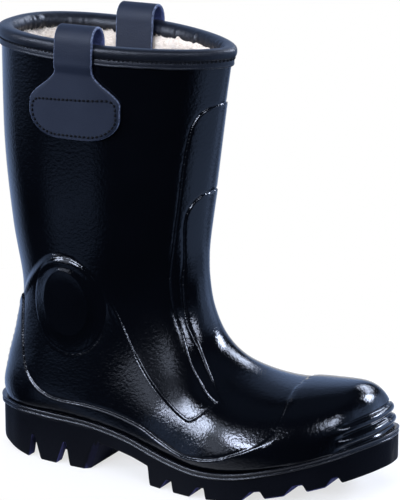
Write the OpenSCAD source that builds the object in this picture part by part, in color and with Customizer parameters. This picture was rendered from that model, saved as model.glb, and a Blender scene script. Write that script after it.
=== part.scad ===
// Fleece-lined safety rigger boot for the right foot: a moulded upper on a lugged sole, with a steel
// toe cap, a puncture plate, a loose footbed and two leather pull straps.
// Millimetres, +Z up, toe towards +X, outer side towards -Y. The origin is on the ground, at the
// middle of the sole's length and width.

/* [Sole] */
// Length of the outsole, from heel to toe. Every line of the foot and leg scales with it
sole_length = 300; // [285:1:315]
// Height of the welt lip round the top of the outsole
welt_tall = 4.5; // [3:0.5:6]
// How far the welt lip stands out past the wall of the sole
welt_out = 1.8; // [1:0.1:2.5]
// Depth of the deepest tread grooves under the forefoot
tread_depth = 8; // [5:0.5:9]
// Depth of the two notches across the heel
notch_depth = 17; // [8:1:18]
// Thickness of the sole under the waist
waist_thick = 14; // [12:0.5:16]
// Rise of the toe above the ground
toe_spring = 22.5; // [14:0.5:24]

/* [Upper] */
// Wall thickness of the moulded upper
shell_thick = 3; // [2.5:0.1:3.5]
// Thickness of the fleece in the leg
leg_fleece = 7; // [5:0.5:8]
// Thickness of the fleece round the foot
foot_fleece = 4; // [3:0.5:5]
// Thickness of the steel toe cap
cap_thick = 1.8; // [1.5:0.1:2.2]

/* [Sole layers] */
// Thickness of the steel puncture plate
plate_thick = 0.8; // [0.5:0.1:1]
// Thickness of the cold insulating board
insulation_thick = 2.6; // [2:0.1:3]
// Radius of the heel cushion
cushion_radius = 20; // [16:0.5:21]
// Thickness of the heel cushion
cushion_thick = 8; // [5:0.5:10]
// Thickness of the insole board
board_thick = 2; // [1.5:0.1:2.5]
// Thickness of the loose footbed
footbed_thick = 4; // [3:0.5:5]

/* [Rim and straps] */
// Height of the binding on the outside of the rim
binding_tall = 12; // [10:0.5:15]
// Thickness of the binding
binding_thick = 1.2; // [1:0.1:1.5]
// Width of a pull strap
strap_wide = 29; // [24:1:34]
// Thickness of a pull strap
strap_thick = 2.2; // [1.6:0.1:2.6]
// Width of the sewn patch at the foot of a strap
patch_wide = 69; // [60:1:76]
// Depth of a strap from the rim to the lower edge of its patch
patch_drop = 65; // [60:1:72]
// Length of the strap's tail inside the leg
tail_drop = 42; // [30:1:50]
// Height of a loop's top above the rim
loop_high = 13.5; // [12:0.5:18]

/* [Hidden] */

// The lines below are drawn for a sole of 300 mm
size = sole_length / 300;

// Stations run from the toe tip, along the foot, round the heel and up the leg to the rim.
// The front line goes over the toes, instep and shin, the back line under the foot and up the heel:
// x from the back of the heel, z from the ground
front_line = size * [
    [294, 54], [289.5, 64.5], [284.5, 71.5], [274, 75.8], [252, 76.2], [227, 76], [206, 80], [188, 88],
    [175, 102], [167, 121], [164, 140], [163.5, 154], [164, 166], [166.5, 186], [170, 209], [174, 235], [179, 269],
    [184.5, 302.5]
];
back_line = size * [
    [294, 51], [293, 39], [286, 30], [272, 23], [250, 17], [222, 13], [190, 12], [155, 15], [115, 20],
    [65, 24], [22, 26], [7, 42], [9.5, 64], [17, 92], [21.5, 122], [15.5, 168], [11.5, 229], [12, 310]
];
// Half widths to the outer and the inner side, and the middle that they are measured from
outer_half = size * [
    1, 16, 26, 37, 48.5, 56, 57, 49, 40.5, 36.5, 35.5, 35.5, 36.5, 39, 42.5, 46.5, 50, 53.5
];
inner_half = size * [
    1, 15, 25, 37, 44.5, 47.5, 46, 39.5, 35.5, 35.5, 35.5, 35.5, 36.5, 39, 42.5, 46.5, 50, 53.5
];
mid_shift = size * [17, 16, 14, 10, 6, 3, 1, 0, 0, 0, 0, 0, 0, -0.5, -0.5, -1, -1, -1];
// Place of the widest point between the back line and the front line
widest = [
    0.45, 0.42, 0.38, 0.36, 0.34, 0.32, 0.32, 0.32, 0.32, 0.35, 0.4, 0.43, 0.45, 0.48, 0.5, 0.5, 0.5, 0.5
];
// How square the section is below its widest point and above it, where 2 is an ellipse
lower_power = [2.5, 3, 3.5, 4, 4, 4, 4, 4, 4, 3.5, 3, 2.4, 2.2, 2.1, 2.1, 2.2, 2.4, 2.5];
upper_power = [2.2, 2.2, 2.2, 2.2, 2.2, 2.1, 2, 2, 2, 2, 2, 2, 2, 2, 1.9, 1.8, 1.7, 1.6];
rim_t = len(front_line) - 1;

// Height of the outsole's top edge at every tenth of its length
welt_line = size * [37.5, 37.5, 37.5, 36.5, 32.5, 26, 22, 23, 28.5, 36, 45];
welt_step = sole_length / (len(welt_line) - 1);

// Plan of the outsole, from the back of the heel along the outer side to the toe and back
plan_knots = size * [
    [0, 0], [7, -15.5], [17, -24], [32, -31.5], [60, -37], [95, -40], [128, -45], [160, -53.5],
    [190, -60], [215, -59], [240, -50.5], [263, -37], [281, -21], [293, -5], [299, 8], [300, 17],
    [299, 27], [294, 37], [283, 46], [263, 52.5], [235, 55], [205, 52], [175, 46], [145, 40.5],
    [115, 38], [90, 37.5], [60, 37], [32, 31.5], [17, 24], [7, 15.5]
];
plan_steps = 4;

// Side view of the tread: heel, notches, waist and forefoot grooves, x from the back of the heel
heel_bevel = size * [[0, 11], [8, 7], [20, 3], [37, 0]];
heel_front = 90 * size;
breast_slope = 8 * size;
tread_start = 143.5 * size;
// Each notch or groove: where its two sides meet the ground and its floor, from heel side to toe side
heel_notches = size * [[37.5, 40.5, 43, 48.5], [62.5, 69, 71, 74]];
tread_grooves = size * [
    [153, 159, 163.5, 164.5], [179, 186, 191.5, 192.5], [219, 225, 231, 234], [246, 251, 257, 259.5],
    [270, 273, 276.5, 278.5]
];
// Depth of each groove as a share of the deepest
groove_share = [1, 1, 0.7, 0.7, 0.6];
spring_start = 158 * size;
spring_radius = (pow(sole_length - spring_start, 2) + pow(toe_spring, 2)) / (2 * toe_spring);
channel_wide = 6 * size;
// Two pockets are cored out under the heel, between its wall and a middle rib
heel_wall = 8 * size;
heel_rib = 12 * size;
pocket_high = 14 * size;

// Fit between layers, and the lift of each layer above the welt
gap = 0.25;
shell_floor = 2.5;
board_lift = shell_floor + gap;
lining_lift = board_lift + board_thick + gap;
lining_floor = 3;
footbed_lift = lining_lift + lining_floor + 2 * gap;
tray_depth = plate_thick + insulation_thick + 3 * gap;
tray_inset = 10 * size;
plate_inset = tray_inset + 0.6;
board_inset = 12 * size;
footbed_inset = 18 * size;
footbed_heel = 7 * size;
footbed_toe = 268 * size;
cushion_x = 42 * size;

// The steel cap reaches back to this station, and the lining thickens behind it
cap_t = 4.45;
cap_strip = 0.3;
cap_floor = 4;
lining_blend = [5, 7];
fleece_blend = [6, 11];

// Relief on both sides of the ankle: a domed boss, given as [middle, half axes] at its foot and its
// top, and a bead along an arch over it, given as [x, z, half width, height]
boss_foot = size * [[74.5, 119], [28, 34.5]];
boss_top = size * [[74, 121], [17, 24]];
boss_high = 2.3 * size;
boss_points = 28;
arch_bead = size * [
    [31, 120, 2, 0.8], [37, 129, 2.6, 1.1], [45, 138, 3.2, 1.4], [56, 148, 3.6, 1.6], [66, 153, 3.6, 1.6],
    [76, 153.5, 3.4, 1.5], [85, 151, 3, 1.4], [96, 142, 2.4, 1.2], [106, 127, 2, 1], [117, 104, 1.8, 0.9],
    [126, 88, 1.6, 0.8], [136, 75, 1.6, 0.8], [147, 65, 1.6, 0.8], [159, 57.5, 1.6, 0.8], [168, 53.5, 1.6, 0.8]
];
relief_root = 1.2;

// Straps sit on the sides of the leg, a little behind its middle. The outer one leans back a little
outer_strap_x = 93 * size;
inner_strap_x = 88 * size;
outer_lean = 4.4 * size;
flare_ends = [17, 40];
patch_corner = [23, 17];
strap_pitch = 4.6;
stitch_long = 3.2;
stitch_radius = 0.4;
stitch_edge = 3;
hinge_gap = 4.4;
binding_top = 1.4;
binding_inside = 10;
rim_count = 64;

// Points round one section, and sections along the boot
around = 40;
sections = 52;

// Curves

function hold(v, low, high) = max(low, min(high, v));
function pick(list, i) = list[hold(i, 0, len(list) - 1)];
function ease(v, ends) = hold((v - ends[0]) / (ends[1] - ends[0]), 0, 1);

// Smooth curve through four neighbouring values, f of the way from b to c
function through(a, b, c, d, f) =
    0.5 * (2 * b + (c - a) * f + (2 * a - 5 * b + 4 * c - d) * f * f + (3 * b - a - 3 * c + d) * f * f * f);

function curve(list, t) =
    let (i = hold(floor(t), 0, len(list) - 2))
    through(pick(list, i - 1), pick(list, i), pick(list, i + 1), pick(list, i + 2), t - i);

function welt(x) = curve(welt_line, hold(x / welt_step, 0, len(welt_line) - 1));

// Skin of the boot

function power(v, e) = sign(v) * pow(abs(v), e);

// Point of the outer skin at station t and angle a, where -90 is the back line, 90 the front line
// and 180 the outer side
function skin(t, a) =
    let (
        front = curve(front_line, t),
        back = curve(back_line, t),
        wide = curve(widest, t),
        above = sin(a) >= 0,
        e = 2 / curve(above ? upper_power : lower_power, t),
        rise = power(sin(a), e),
        h = wide + (above ? 1 - wide : wide) * rise,
        half = cos(a) < 0 ? curve(outer_half, t) : curve(inner_half, t),
        place = back + (front - back) * h
    )
    [place[0], curve(mid_shift, t) + half * power(cos(a), e), place[1]];

function skin_normal(t, a) =
    let (
        along = skin(min(t + 0.03, rim_t), a) - skin(max(t - 0.03, 0), a),
        across = skin(t, a + 1) - skin(t, a - 1),
        n = cross(along, across)
    )
    n / max(norm(n), 0.000001);

// The skin moved in by d, resting on a floor that is lift above the welt
function layer(t, a, d, lift) =
    let (p = d == 0 ? skin(t, a) : skin(t, a) - d * skin_normal(t, a))
    [p[0], p[1], max(p[2], welt(p[0]) + lift)];

function ring(t, d, lift) = [for (k = [0 : around - 1]) layer(t, -90 + 360 * k / around, d, lift)];

// How far in the lining starts and ends: it makes room for the steel cap at the toe
function lining_out(t) =
    shell_thick + gap + (1 - ease(t, lining_blend)) * (cap_thick + gap);
function lining_in(t) =
    lining_out(t) + foot_fleece + ease(t, fleece_blend) * (leg_fleece - foot_fleece);
rim_wall = lining_in(rim_t);

// Point on the rim, d inside the skin and drop below the rim's edge
function rim_point(a, d, drop) =
    let (
        below = max(drop, 0),
        t = rim_t - below / norm(skin(rim_t, a) - skin(rim_t - 1, a)),
        p = layer(t, a, d, 0)
    )
    p + [0, 0, max(-drop, 0)];

// Station whose section passes through a place in the side view of the leg, found by halving
function past(t, x, z) =
    let (f = curve(front_line, t), b = curve(back_line, t))
    (f[0] - b[0]) * (z - b[1]) - (f[1] - b[1]) * (x - b[0]);
function station(x, z, low, high, n) =
    let (mid = (low + high) / 2)
    n == 0 ? mid : past(mid, x, z) > 0 ? station(x, z, mid, high, n - 1) : station(x, z, low, mid, n - 1);

// The skin at a place in side view, on the outer side (-1) or the inner side (1)
function leg_y(side, x, z) =
    let (
        t = station(x, z, 2, rim_t + 0.5, 20),
        f = curve(front_line, t),
        b = curve(back_line, t),
        w = curve(widest, t),
        h = ((f - b) * ([x, z] - b)) / ((f - b) * (f - b)),
        p = curve(h > w ? upper_power : lower_power, t),
        s = min(1, h > w ? (h - w) / (1 - w) : (w - h) / w)
    )
    curve(mid_shift, t) + side * curve(side < 0 ? outer_half : inner_half, t) * pow(1 - pow(s, p), 1 / p);
leg_mid = mid_shift[rim_t];
function leg_half(x, z) = leg_y(1, x, z) - leg_mid;

// Height of the rim over a place along the foot
function rim_at(x) =
    let (f = front_line[rim_t], b = back_line[rim_t])
    b[1] + (f[1] - b[1]) * (x - b[0]) / (f[0] - b[0]);
rim_z = rim_at((outer_strap_x + inner_strap_x) / 2);

// Solids from points

function middle(points) = [for (i = [0 : 2]) let (v = [for (p = points) p[i]]) (min(v) + max(v)) / 2];

// Closed solid through rings of equal count, with fans over its two ends
module loft(rings) {
    n = len(rings[0]);
    m = len(rings);
    points = concat([for (r = rings) each r], [middle(rings[0]), middle(rings[m - 1])]);
    sides = [
        for (i = [0 : m - 2], k = [0 : n - 1])
            let (a = i * n + k, b = i * n + (k + 1) % n)
                each [[a, b, b + n], [a, b + n, a + n]]
    ];
    ends = [
        for (k = [0 : n - 1])
            let (last = (m - 1) * n)
                each [[m * n, (k + 1) % n, k], [m * n + 1, last + k, last + (k + 1) % n]]
    ];
    polyhedron(points, concat(sides, ends), convexity = 10);
}

// Closed strip whose cross section goes once round a path that closes on itself
module hoop(rings) {
    n = len(rings[0]);
    m = len(rings);
    faces = [
        for (i = [0 : m - 1], k = [0 : n - 1])
            let (a = i * n + k, b = i * n + (k + 1) % n, c = ((i + 1) % m) * n)
                each [[a, b, c + (k + 1) % n], [a, c + (k + 1) % n, c + k]]
    ];
    polyhedron([for (r = rings) each r], faces, convexity = 10);
}

// Sheet with a thickness, between two grids of points of the same size
module thick_sheet(top, under) {
    m = len(top);
    n = len(top[0]);
    points = concat([for (r = top) each r], [for (r = under) each r]);
    u = m * n;
    faces = concat(
        [for (i = [0 : m - 2], k = [0 : n - 2]) let (a = i * n + k)
            each [[a, a + 1, a + n + 1], [a, a + n + 1, a + n],
                  [u + a, u + a + n + 1, u + a + 1], [u + a, u + a + n, u + a + n + 1]]],
        [for (k = [0 : n - 2], i = [0, m - 1]) let (a = i * n + k, b = a + 1)
            each i == 0 ? [[a, u + b, b], [a, u + a, u + b]] : [[a, b, u + b], [a, u + b, u + a]]],
        [for (i = [0 : m - 2], k = [0, n - 1]) let (a = i * n + k, b = a + n)
            each k == 0 ? [[a, b, u + b], [a, u + b, u + a]] : [[a, u + b, b], [a, u + a, u + b]]]
    );
    polyhedron(points, faces, convexity = 10);
}

// Moves a module drawn from the back of the heel to the part's own origin
plan_line = [
    for (i = [0 : len(plan_knots) - 1], s = [0 : plan_steps - 1])
        let (n = len(plan_knots))
            through(plan_knots[(i + n - 1) % n], plan_knots[i], plan_knots[(i + 1) % n],
                    plan_knots[(i + 2) % n], s / plan_steps)
];
plan_y = [for (p = plan_line) p[1]];
module placed() {
    low = min(min(plan_y), leg_mid - loop_outside);
    high = max(max(plan_y), leg_mid + loop_outside);
    translate([-sole_length / 2, -(low + high) / 2, 0]) children();
}

// The plan moved in by d
function plan_inside(d) = [
    for (i = [0 : len(plan_line) - 1])
        let (
            n = len(plan_line),
            v = plan_line[(i + 1) % n] - plan_line[(i + n - 1) % n]
        )
        plan_line[i] + d * [-v[1], v[0]] / norm(v)
];

// Block between two side-view lines, trimmed to the plan moved in by d
module sole_slice(side_view, d) {
    intersection() {
        translate([0, 0, -1]) linear_extrude(100 * size) polygon(plan_inside(d));
        translate([0, 100 * size, 0]) rotate([90, 0, 0]) linear_extrude(200 * size) polygon(side_view);
    }
}

slice_x = [for (i = [0 : 30]) sole_length * i / 30];
// Side view of a sheet that follows the welt, from low to high above it
function welt_strip(low, high) = concat(
    [for (x = slice_x) [x, welt(x) + low]],
    [for (i = [30 : -1 : 0]) [slice_x[i], welt(slice_x[i]) + high]]
);

// Height of the ground contact line, which rises at the toe
function ground(x) =
    x < spring_start ? 0 : spring_radius - sqrt(pow(spring_radius, 2) - pow(x - spring_start, 2));
function waist(x) = welt(x) - waist_thick;

// A groove across the tread, as points from its heel side to its toe side
function groove(g, deep) =
    let (top = ground((g[0] + g[3]) / 2) + deep)
    [[g[0], ground(g[0])], [g[1], top], [g[2], top], [g[3], ground(g[3])]];

tread_line = concat(
    [heel_bevel[0] - [5, 0]],
    heel_bevel,
    [for (g = heel_notches) each groove(g, notch_depth)],
    [[heel_front, 0], [heel_front + breast_slope, waist(heel_front + breast_slope)]],
    [for (x = [110, 127] * size) [x, waist(x)]],
    [[tread_start - 1.5, waist(tread_start)], [tread_start, 0]],
    [for (i = [0 : len(tread_grooves) - 1]) each groove(tread_grooves[i], tread_depth * groove_share[i])],
    [for (x = [282, 291, 300] * size) [x, ground(x)]],
    [[sole_length + 5, ground(sole_length)]]
);

// Sub-parts

module upper_shell() {
    color("#14161c") placed() {
        loft(concat(
            [for (i = [0 : sections]) ring(rim_t * i / sections, 0, gap)],
            [for (i = [sections : -1 : 0]) ring(rim_t * i / sections, shell_thick, shell_floor)]
        ));
        for (side = [-1, 1]) {
            loft([boss_ring(side, boss_foot, -relief_root), boss_ring(side, boss_top, boss_high)]);
            loft([for (i = [0 : len(arch_bead) - 1]) bead_ring(side, i)]);
        }
    }
}

// Place on the skin of one side, off outwards
function on_side(side, p, off) = [p[0], leg_y(side, p[0], p[1]) + side * off, p[1]];
// Ring of points for a boss
function boss_ring(side, oval, off) = [
    for (k = [0 : boss_points - 1])
        let (turn = side * 360 * k / boss_points)
            on_side(side, oval[0] + [oval[1][0] * cos(turn), oval[1][1] * sin(turn)], off)
];
// Cross section of the arch's bead
function bead_ring(side, i) =
    let (
        a = pick(arch_bead, i - 1),
        b = pick(arch_bead, i + 1),
        here = arch_bead[i],
        ahead = [b[0] - a[0], b[1] - a[1]] / norm([b[0] - a[0], b[1] - a[1]]),
        across = [-ahead[1], ahead[0]],
        w = here[2],
        h = here[3],
        profile = [[w, -relief_root], [0, -1.6 * relief_root], [-w, -relief_root],
                   [-0.5 * w, 0.75 * h], [0, h], [0.5 * w, 0.75 * h]]
    )
    [for (k = [0 : 5])
        let (q = profile[side < 0 ? k : 5 - k])
            on_side(side, [here[0], here[1]] + across * q[0], q[1])];

module outsole() {
    body_view = concat(
        tread_line,
        [for (i = [30 : -1 : 0]) [slice_x[i] + (i == 30 ? 5 : i == 0 ? -5 : 0), welt(slice_x[i]) - welt_tall]]
    );
    color("#1d2026") placed() difference() {
        union() {
            sole_slice(body_view, welt_out);
            sole_slice(welt_strip(-welt_tall - 0.5, 0), 0);
        }
        sole_slice(welt_strip(-tray_depth, 1), tray_inset);
        translate([cushion_x, 0, welt(cushion_x) - tray_depth - cushion_thick - gap])
            cylinder(r = cushion_radius + gap, h = cushion_thick + tray_depth + 1, $fn = 64);
        difference() {
            sole_slice([[0, -1], [heel_front - heel_wall, -1], [heel_front - heel_wall, pocket_high],
                        [0, pocket_high]], welt_out + heel_wall);
            translate([0, -heel_rib / 2, -2]) cube([heel_front, heel_rib, pocket_high + 4]);
        }
        // Lengthwise channel that parts the lugs under the forefoot
        translate([tread_start - 3, -channel_wide / 2 - 2 * size, -1])
            cube([sole_length * 0.43, channel_wide, tread_depth - 1]);
    }
}

module cap_solid(d, floor_lift, last_t) {
    steps = 14;
    loft([for (i = [0 : steps]) ring(last_t * i / steps, d, floor_lift)]);
}

module toe_cap() {
    color("silver") placed() difference() {
        cap_solid(shell_thick + gap, cap_floor, cap_t);
        cap_solid(shell_thick + gap + cap_thick, -30, cap_t + 0.6);
    }
}

module toe_cap_edge() {
    steps = [0 : 24];
    ts = [cap_t + 0.05, cap_t + 0.05 + cap_strip];
    function arc(t, d) = [for (k = steps) layer(t, -8 + 196 * k / 24, d, cap_floor)];
    color("dimgray") placed() thick_sheet(
        [for (t = ts) arc(t, shell_thick + gap)],
        [for (t = ts) arc(t, shell_thick + gap + cap_thick)]
    );
}

module puncture_plate() {
    low = -tray_depth + gap;
    color("lightgray") placed() sole_slice(welt_strip(low, low + plate_thick), plate_inset);
}

module insulating_board() {
    low = -tray_depth + 2 * gap + plate_thick;
    color("tan") placed() sole_slice(welt_strip(low, low + insulation_thick), plate_inset);
}

module heel_cushion() {
    color("orange") placed()
        translate([cushion_x, 0, welt(cushion_x) - tray_depth - cushion_thick])
            cylinder(r = cushion_radius, h = cushion_thick, $fn = 64);
}

module insole_board() {
    color("peru") placed() sole_slice(welt_strip(board_lift, board_lift + board_thick), board_inset);
}

// One side of the fleece lining, seamed to the other along the front, back and sole:
// side is -1 for the outer half and 1 for the inner half
module lining_half(side) {
    seam = 0.15;
    count = 18;
    rows = 40;
    first_t = 0.05;
    angles = [for (k = [0 : count]) -90 + side * 180 * k / count];
    stations = [for (i = [0 : rows]) first_t + (rim_t - first_t) * i / rows];
    function own_side(t, p) =
        let (middle_y = curve(mid_shift, t))
        [p[0], middle_y + side * max(seam, side * (p[1] - middle_y)), p[2]];
    outside = [for (t = stations) [for (a = angles) own_side(t, layer(t, a, lining_out(t), lining_lift))]];
    inside = [for (t = stations) [for (a = angles)
        own_side(t, layer(t, a, lining_in(t), lining_lift + lining_floor))]];
    color("#efe6da") placed() if (side > 0) thick_sheet(outside, inside); else thick_sheet(inside, outside);
}
module lining_outer_half() lining_half(-1);
module lining_inner_half() lining_half(1);

// The footbed stops short of the toe, and its heel is cut back to clear the leg when it lifts
module footbed() {
    color("#d8cdbd") placed() intersection() {
        translate([0, 100 * size, 0]) rotate([90, 0, 0]) linear_extrude(200 * size)
            polygon(welt_strip(footbed_lift, footbed_lift + footbed_thick));
        footbed_block();
        translate([footbed_heel, 0, 0]) footbed_block();
        translate([0, -100 * size, 0]) cube([footbed_toe, 200 * size, 100 * size]);
    }
}
module footbed_block() linear_extrude(100 * size) offset(delta = -footbed_inset) polygon(plan_line);

// Folded strip over the rim: outside leg, rounded top and inside leg
module top_binding() {
    out = -gap - binding_thick;
    in = rim_wall + gap;
    profile = [
        [out, binding_tall], [out, 0.4], [out + 1.6, -binding_top], [in - 0.4, -binding_top],
        [in + binding_thick, 0.4], [in + binding_thick, binding_inside], [in, binding_inside],
        [in, -gap], [-gap, -gap], [-gap, binding_tall]
    ];
    color("#1b1d22") placed() hoop([
        for (k = [0 : rim_count - 1])
            [for (i = [len(profile) - 1 : -1 : 0])
                rim_point(-90 + 360 * k / rim_count, profile[i][0], profile[i][1])]
    ]);
}

// Short thread between two points
module stitch(from, to) {
    v = to - from;
    translate((from + to) / 2)
        rotate([0, acos(v[2] / norm(v)), atan2(v[1], v[0])])
            cylinder(r = stitch_radius, h = stitch_long, center = true, $fn = 16);
}

module binding_stitches() {
    count = round(400 * size / strap_pitch);
    lift = -gap - binding_thick - stitch_radius - 0.05;
    drop = binding_tall - stitch_edge;
    color("black") placed() for (k = [0 : count - 1]) {
        a = -90 + 360 * (k + 0.5) / count;
        p = rim_point(a, lift, drop);
        if (abs(p[0] - loop_x(p[1])) > strap_wide / 2 + stitch_long)
            stitch(rim_point(a - 0.5, lift, drop), rim_point(a + 0.5, lift, drop));
    }
}

// Straps: side is -1 on the outer side of the leg and 1 on the inner side

// Half width of a strap at a depth below the rim: neck, flare and rounded patch
function patch_half(drop) =
    let (
        flare = ease(drop, flare_ends),
        low = hold((drop - (patch_drop - patch_corner[1])) / patch_corner[1], 0, 1),
        round_in = patch_corner[0] * (1 - sqrt(1 - low * low)),
        smooth = flare * flare * (3 - 2 * flare)
    )
    strap_wide / 2 + (patch_wide - strap_wide) / 2 * smooth - round_in;

// Middle of a strap: its loop and tail, and its patch at a depth below the rim
function loop_x(side) = side < 0 ? outer_strap_x : inner_strap_x;
function patch_x(side, drop) = loop_x(side) - (side < 0 ? outer_lean * ease(drop, [0, 45]) : 0);

// Place on the side of the leg, off away from the skin
function on_leg(side, x, drop, off) =
    [x, leg_y(side, x, rim_z - drop) + side * off, rim_z - drop];

patch_top = -0.5;
patch_rows = [for (i = [0 : 22]) patch_top + (patch_drop - patch_top) * sin(90 * i / 22)];
patch_columns = [for (k = [-6 : 6]) k / 6];
// The neck lies over the binding, the patch on the skin below it
function patch_off(drop) =
    gap + (binding_thick + gap) * (1 - ease(drop, [binding_tall + 1, binding_tall + 8]));

module strap_patch(side) {
    under = [for (d = patch_rows) [for (c = patch_columns)
        on_leg(side, patch_x(side, d) + c * patch_half(d), d, patch_off(d))]];
    over = [for (d = patch_rows) [for (c = patch_columns)
        on_leg(side, patch_x(side, d) + c * patch_half(d), d, patch_off(d) + strap_thick)]];
    color("#23252b") placed() if (side < 0) thick_sheet(over, under); else thick_sheet(under, over);
}

// Loop over the rim, clear of the patch and tail below it
loop_outside = leg_half(outer_strap_x, rim_z) + 2 * gap + binding_thick + strap_thick;
loop_inside = leg_half(inner_strap_x - strap_wide / 2, rim_z) - rim_wall - 2 * gap - binding_thick - strap_thick;
loop_radius = (loop_outside - loop_inside) / 2;
loop_mid = (loop_outside + loop_inside) / 2;
loop_base = rim_z + binding_top + hinge_gap;
loop_rise = loop_high - binding_top - hinge_gap;

// Flat arch with rounded shoulders, standing on its two ends
module arch(half, high) {
    corner = min(high, half);
    translate([-half + corner, 0]) square([2 * (half - corner), high]);
    if (high > corner) translate([-half, 0]) square([2 * half, high - corner]);
    for (s = [-1, 1]) intersection() {
        translate([s * (half - corner), high - corner]) circle(corner, $fn = 64);
        translate([-half, 0]) square([2 * half, high]);
    }
}
module strap_loop(side) {
    color("#23252b") placed() translate([loop_x(side), leg_mid + side * loop_mid, loop_base])
        rotate([90, 0, 90]) linear_extrude(strap_wide, center = true) difference() {
            arch(loop_radius, loop_rise);
            arch(loop_radius - strap_thick, loop_rise - strap_thick);
        }
}

module strap_tail(side) {
    y = side * (loop_inside + strap_thick / 2);
    x = loop_x(side);
    lean = atan((leg_half(x, rim_z) - leg_half(x, rim_z - tail_drop)) / tail_drop);
    color("#23252b") placed() translate([x, leg_mid + y, rim_z + binding_top])
        rotate([-side * lean, 0, 0])
            translate([-strap_wide / 2, -strap_thick / 2, -tail_drop]) cube([strap_wide, strap_thick, tail_drop]);
}

// Sewing path round the patch, a little inside its edge, as [x offset, drop]
function sewing_path() =
    let (
        top = 39,
        low = patch_drop - stitch_edge,
        rows = [for (i = [0 : 40]) top + (low - top) * i / 40]
    )
    concat(
        [for (d = rows) [-patch_half(d + stitch_edge * 0.6) + stitch_edge, d]],
        [for (i = [40 : -1 : 0]) [patch_half(rows[i] + stitch_edge * 0.6) - stitch_edge, rows[i]]]
    );
function lengths(path) = [
    for (i = 0, total = 0; i < len(path);
         total = total + (i + 1 < len(path) ? norm(path[i + 1] - path[i]) : norm(path[0] - path[i])), i = i + 1)
        total
];
function along(path, marks, s) =
    let (
        i = max([for (k = [0 : len(marks) - 1]) marks[k] <= s ? k : 0]),
        next = path[(i + 1) % len(path)],
        piece = norm(next - path[i])
    )
    piece == 0 ? next : path[i] + (next - path[i]) * hold((s - marks[i]) / piece, 0, 1);

module patch_stitches(side) {
    path = sewing_path();
    marks = lengths(path);
    total = marks[len(marks) - 1] + norm(path[0] - path[len(path) - 1]);
    count = round(total / strap_pitch);
    lift = gap + strap_thick + stitch_radius + 0.08;
    color("black") placed() for (k = [0 : count - 1]) {
        s = total * k / count;
        p = along(path, marks, s);
        q = along(path, marks, min(s + 0.6, total - 0.01));
        stitch(on_leg(side, patch_x(side, p[1]) + p[0], p[1], lift),
               on_leg(side, patch_x(side, q[1]) + q[0], q[1], lift));
    }
}

module outer_strap_patch() strap_patch(-1);
module outer_strap_loop() strap_loop(-1);
module outer_strap_tail() strap_tail(-1);
module outer_patch_stitches() patch_stitches(-1);
module inner_strap_patch() strap_patch(1);
module inner_strap_loop() strap_loop(1);
module inner_strap_tail() strap_tail(1);
module inner_patch_stitches() patch_stitches(1);

upper_shell();
outsole();
toe_cap();
toe_cap_edge();
puncture_plate();
insulating_board();
heel_cushion();
insole_board();
lining_outer_half();
lining_inner_half();
footbed();
top_binding();
binding_stitches();
outer_strap_patch();
outer_strap_loop();
outer_strap_tail();
outer_patch_stitches();
inner_strap_patch();
inner_strap_loop();
inner_strap_tail();
inner_patch_stitches();
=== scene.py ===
# %% [markdown]
# # A fleece-lined rigger boot
#
# The part is one moulded work boot for the right foot. Its leg, vamp and guard are a single glossy
# moulding on a matte lugged sole. Inside is a deep fleece lining with a loose footbed. A sewn binding
# closes the rim, and two leather pull straps stand over it. The packed CAD model gives the frame, and
# every visible piece here is a finer shape that stands for one or more of its nodes.

# %% Load the packed frame
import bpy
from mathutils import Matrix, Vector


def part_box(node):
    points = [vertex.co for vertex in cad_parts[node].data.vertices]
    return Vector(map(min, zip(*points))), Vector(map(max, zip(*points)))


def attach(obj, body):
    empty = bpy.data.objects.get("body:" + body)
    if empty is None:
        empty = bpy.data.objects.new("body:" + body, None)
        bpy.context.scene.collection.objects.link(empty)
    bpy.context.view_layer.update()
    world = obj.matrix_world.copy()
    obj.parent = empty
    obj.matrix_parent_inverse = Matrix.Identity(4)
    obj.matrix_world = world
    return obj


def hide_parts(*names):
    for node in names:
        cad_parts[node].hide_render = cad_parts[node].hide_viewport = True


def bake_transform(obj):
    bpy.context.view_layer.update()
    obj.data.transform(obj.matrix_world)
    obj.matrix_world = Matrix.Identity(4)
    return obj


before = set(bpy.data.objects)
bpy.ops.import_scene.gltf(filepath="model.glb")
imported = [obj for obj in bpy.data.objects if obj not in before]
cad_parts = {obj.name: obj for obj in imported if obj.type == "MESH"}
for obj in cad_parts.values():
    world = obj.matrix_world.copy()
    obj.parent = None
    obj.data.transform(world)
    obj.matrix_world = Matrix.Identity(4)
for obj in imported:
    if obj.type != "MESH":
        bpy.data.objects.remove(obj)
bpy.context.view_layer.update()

# %% Tools used below
import math
import bmesh
import bpy
import numpy as np
from mathutils import Vector, kdtree

MM = 0.001
random = np.random.default_rng(7)
print("one millimetre in the frame:", MM)

# %% [markdown]
# ## The lines of the boot
#
# The moulding is drawn as a row of sections, called stations. They start at the tip of the toe, run
# back along the foot, turn through the heel and climb the leg to the rim. All numbers are millimetres:
# x from the back of the heel, y from the mid plane with the outer side negative, z from the ground.
# They are the same lines as in the CAD source, so the fine shapes lie on the solids.

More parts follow.
